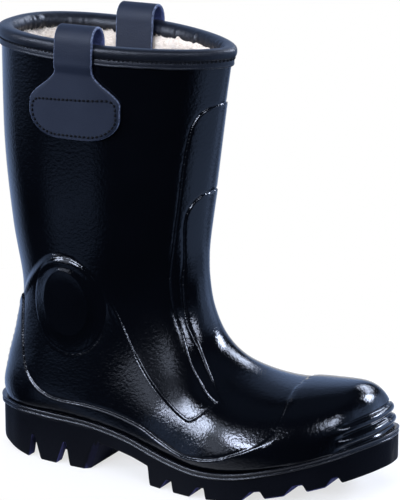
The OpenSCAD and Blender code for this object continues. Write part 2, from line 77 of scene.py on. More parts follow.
# %% Lines of the sections
front_line = np.array([
    [294, 54], [289.5, 64.5], [284.5, 71.5], [274, 75.8], [252, 76.2], [227, 76], [206, 80], [188, 88],
    [175, 102], [167, 121], [164, 140], [163.5, 154], [164, 166], [166.5, 186], [170, 209], [174, 235],
    [179, 269], [184.5, 302.5]])
back_line = np.array([
    [294, 51], [293, 39], [286, 30], [272, 23], [250, 17], [222, 13], [190, 12], [155, 15], [115, 20],
    [65, 24], [22, 26], [7, 42], [9.5, 64], [17, 92], [21.5, 122], [15.5, 168], [11.5, 229], [12, 310]])
outer_half = [1, 16, 26, 37, 48.5, 56, 57, 49, 40.5, 36.5, 35.5, 35.5, 36.5, 39, 42.5, 46.5, 50, 53.5]
inner_half = [1, 15, 25, 37, 44.5, 47.5, 46, 39.5, 35.5, 35.5, 35.5, 35.5, 36.5, 39, 42.5, 46.5, 50, 53.5]
mid_shift = [17, 16, 14, 10, 6, 3, 1, 0, 0, 0, 0, 0, 0, -0.5, -0.5, -1, -1, -1]
widest = [
    0.45, 0.42, 0.38, 0.36, 0.34, 0.32, 0.32, 0.32, 0.32, 0.35, 0.4, 0.43, 0.45, 0.48, 0.5, 0.5, 0.5, 0.5]
lower_power = [2.5, 3, 3.5, 4, 4, 4, 4, 4, 4, 3.5, 3, 2.4, 2.2, 2.1, 2.1, 2.2, 2.4, 2.5]
upper_power = [2.2, 2.2, 2.2, 2.2, 2.2, 2.1, 2, 2, 2, 2, 2, 2, 2, 2, 1.9, 1.8, 1.7, 1.6]
rim_station = len(outer_half) - 1
leg_mid = mid_shift[-1]
welt_line = [37.5, 37.5, 37.5, 36.5, 32.5, 26, 22, 23, 28.5, 36, 45]
welt_step = 30
plan_knots = np.array([
    [0, 0], [7, -15.5], [17, -24], [32, -31.5], [60, -37], [95, -40], [128, -45], [160, -53.5], [190, -60],
    [215, -59], [240, -50.5], [263, -37], [281, -21], [293, -5], [299, 8], [300, 17], [299, 27], [294, 37],
    [283, 46], [263, 52.5], [235, 55], [205, 52], [175, 46], [145, 40.5], [115, 38], [90, 37.5], [60, 37],
    [32, 31.5], [17, 24], [7, 15.5]])
print("stations:", rim_station + 1, "plan knots:", len(plan_knots))

# %% Smooth curves
def curve(knots, place):
    """Smooth curve through evenly numbered knots, read at places along them."""
    knots = np.asarray(knots, float)
    place = np.asarray(place, float)
    last = len(knots) - 1
    index = np.clip(np.floor(place).astype(int), 0, last - 1)
    part = place - index
    if knots.ndim > 1:
        part = part[..., None]
    before, first, second, after = (knots[np.clip(index + step, 0, last)] for step in (-1, 0, 1, 2))
    cubic = 3 * (first - second) + after - before
    square = 2 * before - 5 * first + 4 * second - after
    return first + 0.5 * part * (second - before + part * (square + part * cubic))


def closed_curve(knots, place):
    """Smooth closed curve through evenly numbered knots."""
    knots = np.asarray(knots, float)
    wrapped = np.vstack([knots[-3:], knots, knots[:3]])
    return curve(wrapped, np.asarray(place, float) + 3)


def ease(place, start, end):
    """Smooth step from 0 at start to 1 at end."""
    part = np.clip((np.asarray(place, float) - start) / (end - start), 0, 1)
    return part * part * (3 - 2 * part)


print("the rim is at z, mm:", back_line[-1, 1], "behind and", front_line[-1, 1], "in front")

# %% The skin
def welt_at(x):
    """Height of the top of the welt."""
    return curve(welt_line, np.asarray(x, float) / welt_step)


def skin(station, angle, inset=0.0, lift=None):
    """Skin points. Angle -90 is the back line, 0 the inner side, 90 the front line, 180 the outer side.
    An inset shrinks the section on all sides, and a lift keeps the points that far above the welt."""
    station, angle = np.broadcast_arrays(np.asarray(station, float), np.asarray(angle, float))
    sine = np.sin(np.radians(angle))
    cosine = np.cos(np.radians(angle))
    power = 2 / np.where(sine >= 0, curve(upper_power, station), curve(lower_power, station))
    wide = curve(widest, station)
    rise = np.sign(sine) * np.abs(sine) ** power
    height = wide + np.where(rise >= 0, 1 - wide, wide) * rise
    front = curve(front_line, station)
    back = curve(back_line, station)
    length = np.linalg.norm(front - back, axis=-1)
    height = 0.5 + (height - 0.5) * np.maximum(1 - 2 * inset / length, 0.1)
    half = np.where(cosine < 0, curve(outer_half, station), curve(inner_half, station))
    half = np.maximum(half - inset, 0.1 * half)
    across = curve(mid_shift, station) + half * np.sign(cosine) * np.abs(cosine) ** power
    spot = back + (front - back) * height[..., None]
    points = np.stack([spot[..., 0], across, spot[..., 1]], -1)
    return points if lift is None else rested(points, lift)


def rested(points, lift):
    """Points kept at least a lift above the welt."""
    points = points.copy()
    points[..., 2] = np.maximum(points[..., 2], welt_at(points[..., 0]) + lift)
    return points


def outward(station, angle):
    """Unit normals of the skin, pointing out of the boot."""
    along = skin(station + 0.03, angle) - skin(station - 0.03, angle)
    around = skin(station, angle + 0.7) - skin(station, angle - 0.7)
    normal = np.cross(along, around)
    return normal / np.maximum(np.linalg.norm(normal, axis=-1, keepdims=True), 1e-9)


print("outermost point of the rim, mm:", skin(rim_station, 180).round(1).tolist())

# %% The skin from the side
def side_point(x, z, side):
    """Skin points over places of the side view, on the outer side (-1) or the inner side (1)."""
    x, z = np.broadcast_arrays(np.asarray(x, float), np.asarray(z, float))
    low = np.zeros(x.shape)
    high = np.full(x.shape, rim_station + 0.6)
    for _ in range(26):
        station = (low + high) / 2
        front = curve(front_line, station)
        back = curve(back_line, station)
        span = front - back
        past = span[..., 0] * (z - back[..., 1]) - span[..., 1] * (x - back[..., 0]) > 0
        low = np.where(past, station, low)
        high = np.where(past, high, station)
    height = ((x - back[..., 0]) * span[..., 0] + (z - back[..., 1]) * span[..., 1]) / (span ** 2).sum(-1)
    wide = curve(widest, station)
    rise = np.clip((height - wide) / np.where(height > wide, 1 - wide, wide), -1, 1)
    power = np.where(rise >= 0, curve(upper_power, station), curve(lower_power, station))
    half = curve(outer_half if side < 0 else inner_half, station)
    across = curve(mid_shift, station) + side * half * (1 - np.abs(rise) ** power) ** (1 / power)
    return np.stack([x, across, z], -1)


def rim_height(x):
    """Height of the rim, which slopes from the back down to the shin."""
    back_x, back_z = back_line[-1]
    front_x, front_z = front_line[-1]
    return back_z + (front_z - back_z) * (np.asarray(x, float) - back_x) / (front_x - back_x)


print("outer side of the ankle, mm:", side_point(74, 114, -1).round(1).tolist())

# %% Place in the frame
plan_line = closed_curve(plan_knots, np.linspace(0, len(plan_knots), 1201)[:-1])
sole_low, sole_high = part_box("outsole")
to_frame = np.array([sole_low.x / MM, sole_low.y / MM - plan_line[:, 1].min(), 0.0])


def placed(points):
    """Metres in the frame for points in the boot's own millimetres."""
    return (np.asarray(points, float) + to_frame) * MM


print("shift into the frame, mm:", to_frame.round(3).tolist())

# %% [markdown]
# ## Meshes and node materials
#
# Two small helpers are shared by all pieces. One turns points and faces into a smooth mesh. The other
# wraps a shader socket, so that a material can be written as plain arithmetic.

# %% Mesh helpers
def grid_faces(rows, columns, wrap_rows=False, start=0):
    """Quads between neighbouring points of a grid whose rows are closed rings, stored one by one."""
    row = np.arange(rows if wrap_rows else rows - 1)
    row, column = (part.ravel() for part in np.meshgrid(row, np.arange(columns), indexing="ij"))
    up = (row + 1) % rows
    on = (column + 1) % columns
    quads = [row * columns + column, row * columns + on, up * columns + on, up * columns + column]
    return (np.stack(quads, 1) + start).tolist()


def make_piece(name, points, faces, finishes, slots=None):
    """A smooth mesh object from points in millimetres, with its normals facing out."""
    mesh = bpy.data.meshes.new(name)
    mesh.from_pydata(placed(points).tolist(), [], faces)
    for finish in finishes:
        mesh.materials.append(finish)
    if slots is not None:
        mesh.polygons.foreach_set("material_index", np.asarray(slots, np.int32))
    work = bmesh.new()
    work.from_mesh(mesh)
    bmesh.ops.recalc_face_normals(work, faces=work.faces)
    work.to_mesh(mesh)
    work.free()
    mesh.polygons.foreach_set("use_smooth", np.ones(len(mesh.polygons), bool))
    mesh.update()
    piece = bpy.data.objects.new(name, mesh)
    bpy.context.collection.objects.link(piece)
    return piece


print("faces between two rings of four points:", grid_faces(2, 4))

# %% Even lines and soft noise
def walked_along(points):
    """Length walked to each point of a line. Where lines run side by side, it is their average."""
    steps = np.linalg.norm(np.diff(points, axis=0), axis=-1)
    if steps.ndim > 1:
        steps = steps.mean(1)
    return np.r_[0, np.cumsum(steps)]


def even_line(points, spacing, closed=False):
    """Evenly spaced points along a polyline."""
    points = np.asarray(points, float)
    if closed:
        points = np.vstack([points, points[:1]])
    walked = walked_along(points)
    count = max(2, round(walked[-1] / spacing))
    places = np.linspace(0, walked[-1], count + 1)
    if closed:
        places = places[:-1]
    return np.stack([np.interp(places, walked, column) for column in points.T], 1)


def soft_noise(rows, columns, passes):
    """Smooth random grid with unit spread. More passes make broader lumps."""
    grid = random.normal(size=(rows, columns))
    for _ in range(passes):
        grid = (np.roll(grid, 1, 1) + 2 * grid + np.roll(grid, -1, 1)) / 4
        padded = np.vstack([grid[:1], grid, grid[-1:]])
        grid = (padded[:-2] + 2 * padded[1:-1] + padded[2:]) / 4
    return grid / grid.std()


print("points 100 mm apart round the sole:", len(even_line(plan_line, 100, closed=True)))

# %% Shader sockets with arithmetic
class Shade:
    """A shader socket with arithmetic."""

    def __init__(self, tree, socket):
        self.tree = tree
        self.socket = socket

    def add(self, kind, settings=None, sockets=None, output=0):
        """Any node: its settings are set first, then its sockets are filled or linked."""
        node = self.tree.nodes.new("ShaderNode" + kind)
        for name, value in (settings or {}).items():
            if name == "stops":
                while len(node.color_ramp.elements) < len(value):
                    node.color_ramp.elements.new(0.5)
                for element, (place, colour) in zip(node.color_ramp.elements, value):
                    element.position = place
                    element.color = (*colour, 1)
            else:
                setattr(node, name, value)
        for name, value in (sockets or {}).items():
            if isinstance(value, Shade):
                self.tree.links.new(value.socket, node.inputs[name])
            else:
                node.inputs[name].default_value = value
        return Shade(self.tree, node.outputs[output])

    def math(self, operation, *others):
        """A Math node on this value."""
        values = dict(enumerate((self, *others)))
        return self.add("Math", {"operation": operation}, values)

    def __add__(self, other):
        return self.math("ADD", other)

    def __sub__(self, other):
        return self.math("SUBTRACT", other)

    def __rsub__(self, other):
        return self.add("Math", {"operation": "SUBTRACT"}, {0: other, 1: self})

    def __mul__(self, other):
        return self.math("MULTIPLY", other)

    def __truediv__(self, other):
        return self.math("DIVIDE", other)

    def __rtruediv__(self, other):
        return self.add("Math", {"operation": "DIVIDE"}, {0: other, 1: self})

    def __neg__(self):
        return self.math("MULTIPLY", -1.0)

    def ramp(self, low, high):
        """Smooth step from 0 at low to 1 at high."""
        limits = {"Value": self, "From Min": low, "From Max": high}
        return self.add("MapRange", {"interpolation_type": "SMOOTHSTEP"}, limits)

    __radd__ = __add__
    __rmul__ = __mul__


print("reflected operators:", [name for name in vars(Shade) if name.startswith("__r")])

# %% Parts of a finish
def mixed(factor, first, second):
    """A colour between two colours."""
    pair = [colour if isinstance(colour, Shade) else (*colour, 1) for colour in (first, second)]
    settings = {"data_type": "RGBA", "clamp_factor": True}
    return factor.add("Mix", settings, {0: factor, 6: pair[0], 7: pair[1]}, output=2)


def start_finish(name, constants):
    """A new material: its place coordinate and its main shader node."""
    finish = bpy.data.materials.new(name)
    finish.use_nodes = True
    tree = finish.node_tree
    shader = tree.nodes["Principled BSDF"]
    for socket, value in constants.items():
        shader.inputs[socket].default_value = value
    place = Shade(tree, tree.nodes.new("ShaderNodeTexCoord").outputs["Object"])
    return finish, place, shader


def plug(shade, shader, socket):
    """Link a value to a socket of the main shader."""
    shade.tree.links.new(shade.socket, shader.inputs[socket])


def noise(place, scale, detail=2.0, roughness=0.5):
    """Noise around 0.5 with features of about one over scale metres."""
    sockets = {"Vector": place, "Scale": scale, "Detail": detail, "Roughness": roughness}
    return place.add("TexNoise", None, sockets)


def cells(place, scale):
    """Distance to the nearest of scattered points."""
    return place.add("TexVoronoi", {"feature": "F1"}, {"Vector": place, "Scale": scale})


def bumped(height, distance):
    """A normal that follows a height, scaled to metres by a distance."""
    return height.add("Bump", None, {"Height": height, "Distance": distance, "Strength": 1.0})


def show(shade):
    """Make a shader what its material shows."""
    output = shade.tree.nodes["Material Output"]
    shade.tree.links.new(shade.socket, output.inputs["Surface"])


print("finishes so far:", len(bpy.data.materials))

# %% [markdown]
# ## Finishes
#
# The upper is black plasticised PVC with a wet gloss and a fine moulded pebble, and it is grained
# duller on the boss and in the gusset. The sole is matte black rubber under a glossier welt. The straps
# are coated leather with a navy felt back and pale cut edges. The binding is satin leatherette, the
# lining cream fleece. Image textures would bring along the light of the picture they came from. So
# each finish is built from noise nodes: a broad one for its colour and wear, a fine one for its bump.

# %% Glossy moulded upper
upper_gloss, place, shader = start_finish("upper_gloss", {"IOR": 1.5, "Specular IOR Level": 0.5})
cloud = noise(place, 30, 3)
pebble = noise(place, 480, 3, 0.6)


def blot(place, middle, reach, lean=0.0):
    """Soft-edged oval of the side view, 1 inside and 0 outside. Its top leans back by some degrees."""
    start = place.add("VectorMath", {"operation": "SUBTRACT"}, {0: place, 1: tuple(placed(middle))})
    side = math.cos(math.radians(lean))
    up = math.sin(math.radians(lean))
    dot = {"operation": "DOT_PRODUCT"}
    across = place.add("VectorMath", dot, {0: start, 1: (side, 0, up)}, output="Value") / (reach[0] * MM)
    along = place.add("VectorMath", dot, {0: start, 1: (-up, 0, side)}, output="Value") / (reach[1] * MM)
    return 1.0 - (across * across + along * along).math("SQRT").ramp(0.75, 1.1)


gusset = blot(place, (145.5, 0, 88), (17, 38), 33)
boss = blot(place, (74, 0, 114), (21, 29))
grained = gusset.math("MAXIMUM", boss)
black = mixed(cloud, (0.0007, 0.0009, 0.0014), (0.0014, 0.0017, 0.0027))
plug(black, shader, "Base Color")
plug(0.04 + 0.05 * cloud + 0.06 * pebble, shader, "Roughness")
plug(bumped(pebble, 0.00019), shader, "Normal")
glossy = Shade(place.tree, shader.outputs[0])
dull = place.add("BsdfPrincipled", None, {
    "IOR": 1.5,
    "Specular IOR Level": 0.04,
    "Base Color": black,
    "Roughness": 0.20 + 0.10 * cloud,
    "Normal": bumped(pebble, 0.00030)})
show(place.add("MixShader", None, {0: 0.97 * grained, 1: glossy, 2: dull}))
print("duller ovals on the upper: gusset and boss")

# %% Matte moulded sole
# Stretches of the sole, as x in the frame in metres, that bound the painted navy light.
waist_back = (-0.064, -0.061)
waist_front = (-0.035, -0.030)
toe_start = (0.12, 0.13)


def rubber_finish(name, specular, roughness, painted_navy_strength):
    """Black rubber, with painted navy light from below on the down-slanted front faces of the lugs."""
    finish, place, shader = start_finish(name, {"IOR": 1.5, "Specular IOR Level": specular})
    cloud = noise(place, 45, 4)
    grit = noise(place, 700, 3, 0.6)
    normal = place.add("NewGeometry", output="Normal")
    ahead = place.add("SeparateXYZ", None, {0: normal}, output="X")
    upward = place.add("SeparateXYZ", None, {0: normal}, output="Z")
    lengthwise = place.add("SeparateXYZ", None, {0: place}, output="X")
    in_waist = lengthwise.ramp(*waist_back) * (1.0 - lengthwise.ramp(*waist_front))
    slanted = ahead.ramp(0.2, 0.6) * (-upward).ramp(0.08, 0.3)
    # Painted light: navy on lug faces that look forward and down, behind the toe and mostly off the waist,
    # stands for bluish light thrown up from below.
    painted_navy_share = painted_navy_strength * (slanted * (1.0 - lengthwise.ramp(*toe_start))) * (1.0 - 0.9 * in_waist)
    rubber = mixed(cloud, (0.0011, 0.0013, 0.0022), (0.0024, 0.0028, 0.0044))
    plug(mixed(painted_navy_share, rubber, (0.040, 0.040, 0.110)), shader, "Base Color")
    plug(roughness + 0.16 * cloud + 0.08 * grit, shader, "Roughness")
    plug(bumped(grit, 0.00015), shader, "Normal")
    return finish


# The sole gets the painted navy light, the welt none.
sole_rubber = rubber_finish("sole_rubber", 0.04, 0.40, 1.0)
welt_rubber = rubber_finish("welt_rubber", 0.5, 0.10, 0.0)
print("rubbers:", sole_rubber.name, "and", welt_rubber.name)

# %% Strap leather, felt back and cut edge
strap_leather, place, shader = start_finish("strap_leather", {"IOR": 1.5, "Specular IOR Level": 0.28})
cloud = noise(place, 60, 4)
grain = cells(place, 900)
plug(mixed(cloud, (0.0065, 0.0095, 0.0185), (0.012, 0.0165, 0.029)), shader, "Base Color")
plug(0.50 + 0.16 * cloud, shader, "Roughness")
plug(bumped(grain + noise(place, 300, 3), 0.00006), shader, "Normal")

strap_felt, place, shader = start_finish("strap_felt", {"Roughness": 0.95, "Specular IOR Level": 0.1})
fibre = noise(place, 900, 4, 0.7)
plug(mixed(fibre, (0.040, 0.052, 0.140), (0.190, 0.230, 0.440)), shader, "Base Color")
plug(bumped(fibre, 0.0005), shader, "Normal")

strap_edge, place, shader = start_finish("strap_edge", {"Roughness": 0.8, "Specular IOR Level": 0.2})
fibre = noise(place, 700, 4, 0.7)
plug(mixed(fibre.ramp(0.3, 0.7), (0.012, 0.015, 0.030), (0.16, 0.19, 0.27)), shader, "Base Color")
plug(bumped(fibre, 0.0003), shader, "Normal")
print("strap finishes:", strap_leather.name, strap_felt.name, strap_edge.name)

# %% Satin binding and thread
binding_satin, place, shader = start_finish("binding_satin", {"IOR": 1.5, "Specular IOR Level": 0.45})
cloud = noise(place, 80, 3)
grain = cells(place, 1100)
plug(mixed(cloud, (0.0022, 0.0030, 0.0054), (0.0042, 0.0056, 0.0094)), shader, "Base Color")
plug(0.34 + 0.14 * cloud, shader, "Roughness")
plug(bumped(grain + noise(place, 350, 3), 0.00010), shader, "Normal")

thread_wax, place, shader = start_finish("thread_wax", {"Specular IOR Level": 0.15})
twist = noise(place, 2500, 2)
plug(mixed(twist, (0.0012, 0.0013, 0.0018), (0.0040, 0.0042, 0.0055)), shader, "Base Color")
plug(0.5 + 0.2 * twist, shader, "Roughness")
print("sewn finishes:", binding_satin.name, thread_wax.name)

# %% Fleece and footbed
def fleece_finish(name, shade_between_tufts, pale):
    """Cream pile with painted shade: darker and warmer between the tufts, paler on their tips."""
    constants = {"Roughness": 1.0, "Specular IOR Level": 0.05, "Sheen Weight": 0.3}
    finish, place, shader = start_finish(name, constants)
    tuft = noise(place, 260, 5, 0.7)
    # Broad random patches are blended half way towards a darker, warmer tone.
    darker_patches = noise(place, 28, 3).ramp(0.45, 0.8) * 0.5
    # Painted shade: the tuft noise that raises the bump also darkens the pile between tufts and lightens
    # their tips.
    colour = mixed(tuft.ramp(0.25, 0.75), shade_between_tufts, pale)
    plug(mixed(darker_patches, colour, (0.59, 0.495, 0.40)), shader, "Base Color")
    plug(bumped(tuft + noise(place, 1200, 3), 0.0012), shader, "Normal")
    return finish


# The first colour of each pile is the painted shade between the tufts.
fleece_pile = fleece_finish("fleece_pile", (0.57, 0.475, 0.38), (0.83, 0.735, 0.615))
footbed_pile = fleece_finish("footbed_pile", (0.50, 0.43, 0.36), (0.76, 0.70, 0.62))
print("finishes:", len(bpy.data.materials))

# %% [markdown]
# ## The moulded upper
#
# On the real boot the upper is injected in one shot over a lined last, and all its relief comes from
# the mould: an ankle shield with a raised arch and a domed boss, two stepped shin panels, and a guard
# that wraps the toe, runs along the welt and climbs the heel. A loft with a normal map would lose the
# edges in silhouette. So the skin is meshed with cells of 3 mm, and those near an edge of the relief
# are split again and again, down to 0.4 mm. Each edge is a line of the side view laid on both sides.

# %% Edges of the relief
arch_points = [
    [2, 84], [14, 98], [23, 109], [31, 120], [37, 129], [45, 138], [56, 148], [66, 153], [76, 153.5],
    [85, 151], [96, 142], [106, 127], [117, 104], [126, 88], [136, 75], [147, 65], [159, 57.5],
    [168, 53.5], [173.5, 52], [178, 53.5], [183, 57.5], [188, 62], [193, 66]]
arch_end = 168
panel_points = [
    [191, 66], [184, 69.5], [178, 74.5], [165, 87.5], [154, 109.5], [149, 122], [146.5, 138], [147.5, 152],
    [151, 171], [155.5, 198], [158.5, 219], [162, 240], [166, 255], [172, 263], [180, 265.5], [200, 266]]
step_points = [
    [197, 66], [192, 70], [177.5, 84], [165.5, 100.5], [157.5, 116], [154, 138], [155, 158], [157, 181.5],
    [159.5, 192], [164.5, 200.5], [171, 203.5], [195, 204]]
guard_points = [
    [243, 95], [240.5, 79], [239, 74.5], [240, 70], [241, 64], [238.5, 54], [233, 46], [224, 41], [212, 36],
    [200, 31.5], [186, 28.8], [170, 28.5], [152, 33.5], [134, 40], [112, 45], [90, 47.5], [66, 48],
    [53, 51], [43.5, 57.5], [37, 67.5], [33.5, 86], [32, 103], [31, 119]]
hand_set = len(arch_points + panel_points + step_points + guard_points)
print("hand-set points of the relief:", hand_set)

# %% Lines on the skin
line_spacing = 0.5


def smooth_line(points):
    """Evenly spaced points on a smooth curve through given points."""
    places = np.linspace(0, len(points) - 1, 30 * (len(points) - 1) + 1)
    return even_line(curve(points, places), line_spacing)


def line_tree(line):
    """Search tree of a side-view line, laid on both sides of the skin."""
    tree = kdtree.KDTree(2 * len(line))
    for side in (-1, 1):
        for index, point in enumerate(side_point(line[:, 0], line[:, 1], side)):
            tree.insert(point, index)
    tree.balance()
    return tree


def far_from(tree, points):
    """Distance of every point from the nearest point of a tree."""
    return np.array([tree.find(point)[2] for point in points])


def inside(points, outline):
    """True for points whose side view lies inside a closed outline."""
    x, z = points[:, 0], points[:, 2]
    odd = np.zeros(len(points), bool)
    for (x0, z0), (x1, z1) in zip(outline, np.roll(outline, -1, 0)):
        if z0 != z1:
            odd ^= ((z0 > z) != (z1 > z)) & (x < x0 + (z - z0) * (x1 - x0) / (z1 - z0))
    return odd


print("spacing of the lines, mm:", line_spacing)

# %% Outlines and search trees
arch_line = smooth_line(arch_points)
panel_line = smooth_line(panel_points)
step_line = smooth_line(step_points)
guard_line = smooth_line(guard_points)
bead_line = arch_line[:np.argmax(arch_line[:, 0] > arch_end)]
# Each outline is closed by corners outside the boot.
field_outline = np.vstack([arch_line[::3], panel_line[::3], [[240, 330], [-40, 330], [-40, 84]]])
step_outline = np.vstack([step_line[::3], [[330, 204], [330, 60], [230, 60]]])
guard_outline = np.vstack([
    guard_line[::3], [[23, 108], [2, 83], [-40, 83], [-40, -20], [340, -20], [340, 95]]])
field_tree = line_tree(np.vstack([arch_line, panel_line]))
panel_tree = line_tree(panel_line)
step_tree = line_tree(step_line)
guard_tree = line_tree(guard_line)
bead_tree = line_tree(bead_line)
relief_lines = (arch_line, panel_line, step_line, guard_line)
print("relief lines, mm:", [round(line_spacing * len(line)) for line in relief_lines])

# %% Forms of the edges
def lip(depth, width):
    """Quarter-round edge from 0 outside to 1 inside."""
    part = np.clip(depth / width, 0, 1)
    return np.sqrt(1 - (1 - part) ** 2)


def bead(distance, half):
    """Half-round ridge."""
    return np.sqrt(np.clip(1 - (distance / half) ** 2, 0, 1))


def hump(distance, half):
    """Soft ridge that runs out to nothing."""
    return np.where(np.abs(distance) < half, np.cos(np.pi * distance / (2 * half)) ** 2, 0)


def crisp_edge(depth, width):
    """Quarter-round edge with a fine groove at its foot."""
    return lip(depth, width) - 0.2 * hump(depth + 0.9, 1.1)


def depth_inside(tree, outline, points):
    """Distance from a line of the relief, positive inside its outline and negative outside."""
    return far_from(tree, points) * np.where(inside(points, outline), 1, -1)


# The distance that stands for no edge nearby.
no_edge = 9
print("a lip 1 mm wide, half way in:", round(float(lip(0.5, 1)), 3))

# %% Shield, arch and panels
gusset_deep = 2.0
gusset_wide = 19
bead_places = [20, 45, 66, 96, 117, 168]
bead_halves = [2.0, 3.4, 3.8, 2.6, 1.8, 1.4]
bead_heights = [0.8, 1.4, 1.6, 0.9, 0.2, 0.0]
step_high = 0.8
strip_slope = 0.19
strip_wide = 9
strip_back = 143


def shield_relief(points, field):
    """Ankle shield and shin panel: soft along the arch, crisp past it, with a gusset dished in between."""
    x, _, z = points.T
    past_arch = ease(x, 90, 130)
    height = -0.5 + (1 - past_arch) * ease(field, -1, 5) + past_arch * crisp_edge(field, 1.5)
    in_gusset = (field < 0) * ease(x, 128, 142) * ease(z, 62, 74) * (1 - ease(z, 118, 140))
    to_panel = far_from(panel_tree, points)
    return height - gusset_deep * in_gusset * np.clip(1 - to_panel / gusset_wide, 0, 1) ** 2


def arch_relief(points, field):
    """Round bead on the arch: its height, and the distance past its foot."""
    x = points[:, 0]
    half = np.interp(x, bead_places, bead_halves)
    beside = np.abs(far_from(bead_tree, points) * np.where(field > 0, 1, -1) - 0.4 * half)
    height = np.interp(x, bead_places, bead_heights) * hump(beside, 1.5 * half)
    return height, np.maximum(beside - 1.5 * half, 0)


def step_relief(points, field):
    """Inner shin panel and the sloped strip beside it: the height, and the distance to the edge."""
    x, _, z = points.T
    step = depth_inside(step_tree, step_outline, points)
    fade = ease(z, 62, 88)
    raised = lip(step, 1.3)
    height = fade * (step_high * raised - 0.35 * hump(step + 0.9, 1.1))
    in_strip = (x > strip_back) * (1 - raised) * ease(z, 70, 84) * (1 - ease(z, 118, 140))
    height = height - strip_slope * in_strip * np.clip(field, 0, strip_wide)
    return height, np.where(fade > 0, np.abs(step), no_edge)


print("deepest point of the gusset, mm:", gusset_deep)

# %% Guard
cap_high = 1.2
cap_ridge = 0.5
flare_high = 1.3


def guard_relief(points):
    """Guard: crisp along the welt, soft over the toe, flared at its turn. Also the distance to its edge."""
    x, _, z = points.T
    guard = depth_inside(guard_tree, guard_outline, points)
    on_cap = ease(x, 212, 236)
    height = (1 - on_cap) * crisp_edge(guard, 1.7) + cap_high * on_cap * ease(guard, -0.6, 3.2)
    height = height + cap_ridge * on_cap * hump(guard - 0.3, 2.2)
    flare = np.clip(1 - np.abs(guard) / np.where(guard > 0, 16, 13), 0, 1) ** 1.5
    at_turn = ease(x, 150, 180) * (1 - ease(x, 236, 262)) * (1 - ease(z, 42, 54))
    return height + flare_high * flare * at_turn, np.abs(guard)


print("height of the guard over the toe, mm:", cap_high)

# %% Boss and ribs
boss_foot = np.array([[74.5, 119], [28, 34.5]])
boss_top = np.array([[74, 121], [17, 24]])
boss_high = 2.3
foot_radius = 31
top_radius = 21
toe_ribs = (14.4, 6.2)
toe_rib_high = 1.6
toe_groove_deep = 1.1
toe_groove_off = 3.7
back_rib_pitch = 5.2
back_rib_high = 0.7
back_rib_low = 58


def boss_relief(points):
    """Domed boss on both sides of the ankle: its height, and the distance to its two edges."""
    x, y, z = points.T
    spot = np.stack([x, z], 1)
    foot = np.linalg.norm((spot - boss_foot[0]) / boss_foot[1], axis=1)
    top = np.linalg.norm((spot - boss_top[0]) / boss_top[1], axis=1)
    on_side = np.abs(y) > 12
    flank = np.clip((1 - foot) / np.maximum(top - foot, 1e-6), 0, 1)
    flank = np.where(top <= 1, 1, np.where(foot >= 1, 0, flank))
    height = on_side * (boss_high * flank - 0.3 * hump((foot - 1.03) * foot_radius, 1.5))
    edge = np.minimum(foot_radius * np.abs(foot - 1), top_radius * np.abs(top - 1))
    return height, np.where(on_side, 0.4 + edge, no_edge)


def rib_relief(points):
    """Round ribs across the toe and small ones up the back of the heel."""
    x, y, z = points.T
    above_welt = z - welt_at(x)
    at_toe = ease(x, 273, 284) * (above_welt < 25)
    height = np.zeros(len(points))
    for rib in toe_ribs:
        off = above_welt - rib
        grooves = hump(off - toe_groove_off, 1.6) + hump(off + toe_groove_off, 1.6)
        height += at_toe * (toe_rib_high * bead(off, 2.4) - toe_groove_deep * grooves)
    at_back = (x < 40) * (1 - ease(np.abs(y), 9, 14)) * ease(z, 54, 58) * (1 - ease(z, 97, 101))
    height += at_back * back_rib_high * hump((z - back_rib_low) % back_rib_pitch - back_rib_pitch / 2, 1.5)
    toe_edge = np.where((at_toe > 0) & (above_welt < 20), 1.0, no_edge)
    return height, np.minimum(toe_edge, np.where(at_back > 0, 1.6, no_edge))


print("mean radius of the boss, mm:", foot_radius, "at its foot,", top_radius, "at its top")

# %% Whole relief
def relief(points):
    """Height of the relief over the plain skin, and the distance to its nearest edge."""
    field = -depth_inside(field_tree, field_outline, points)
    arch, past_bead = arch_relief(points, field)
    step, step_edge = step_relief(points, field)
    guard, guard_edge = guard_relief(points)
    boss, boss_edge = boss_relief(points)
    ribs, rib_edge = rib_relief(points)
    height = shield_relief(points, field) + arch + step + guard + boss + ribs
    edges = [np.abs(field), 1.2 + past_bead, step_edge, guard_edge, boss_edge, rib_edge]
    return height, np.min(edges, axis=0)


boss_spot = side_point([boss_top[0, 0]], [boss_top[0, 1]], -1)
print("relief on the boss, mm:", relief(boss_spot)[0].round(2).tolist())

# %% Lattice on the skin
block = 8
base_rows = 160
base_columns = 128
cell_size = 3.2
fine_columns = base_columns * block
dense = np.linspace(0, rim_station, 681)
walked = walked_along(skin(dense[:, None], np.linspace(-90, 270, 73)[None, :-1]))
station_at = np.interp(np.linspace(0, walked[-1], base_rows * block + 1), walked, dense)
sweep = np.linspace(-90, 270, 721)
angle_at = np.empty((base_rows + 1, fine_columns))
for row in range(base_rows + 1):
    walked = walked_along(skin(station_at[row * block], sweep))
    places = np.arange(fine_columns) / fine_columns * walked[-1]
    angle_at[row] = np.interp(places, walked, sweep)


def on_lattice(row, column):
    """Station and angle of lattice places."""
    column = column % fine_columns
    coarse = np.minimum(row // block, base_rows - 1)
    part = row / block - coarse
    angle = angle_at[coarse, column] * (1 - part) + angle_at[coarse + 1, column] * part
    return station_at[row], angle


print("lattice:", base_rows * block + 1, "rows by", fine_columns, "columns")

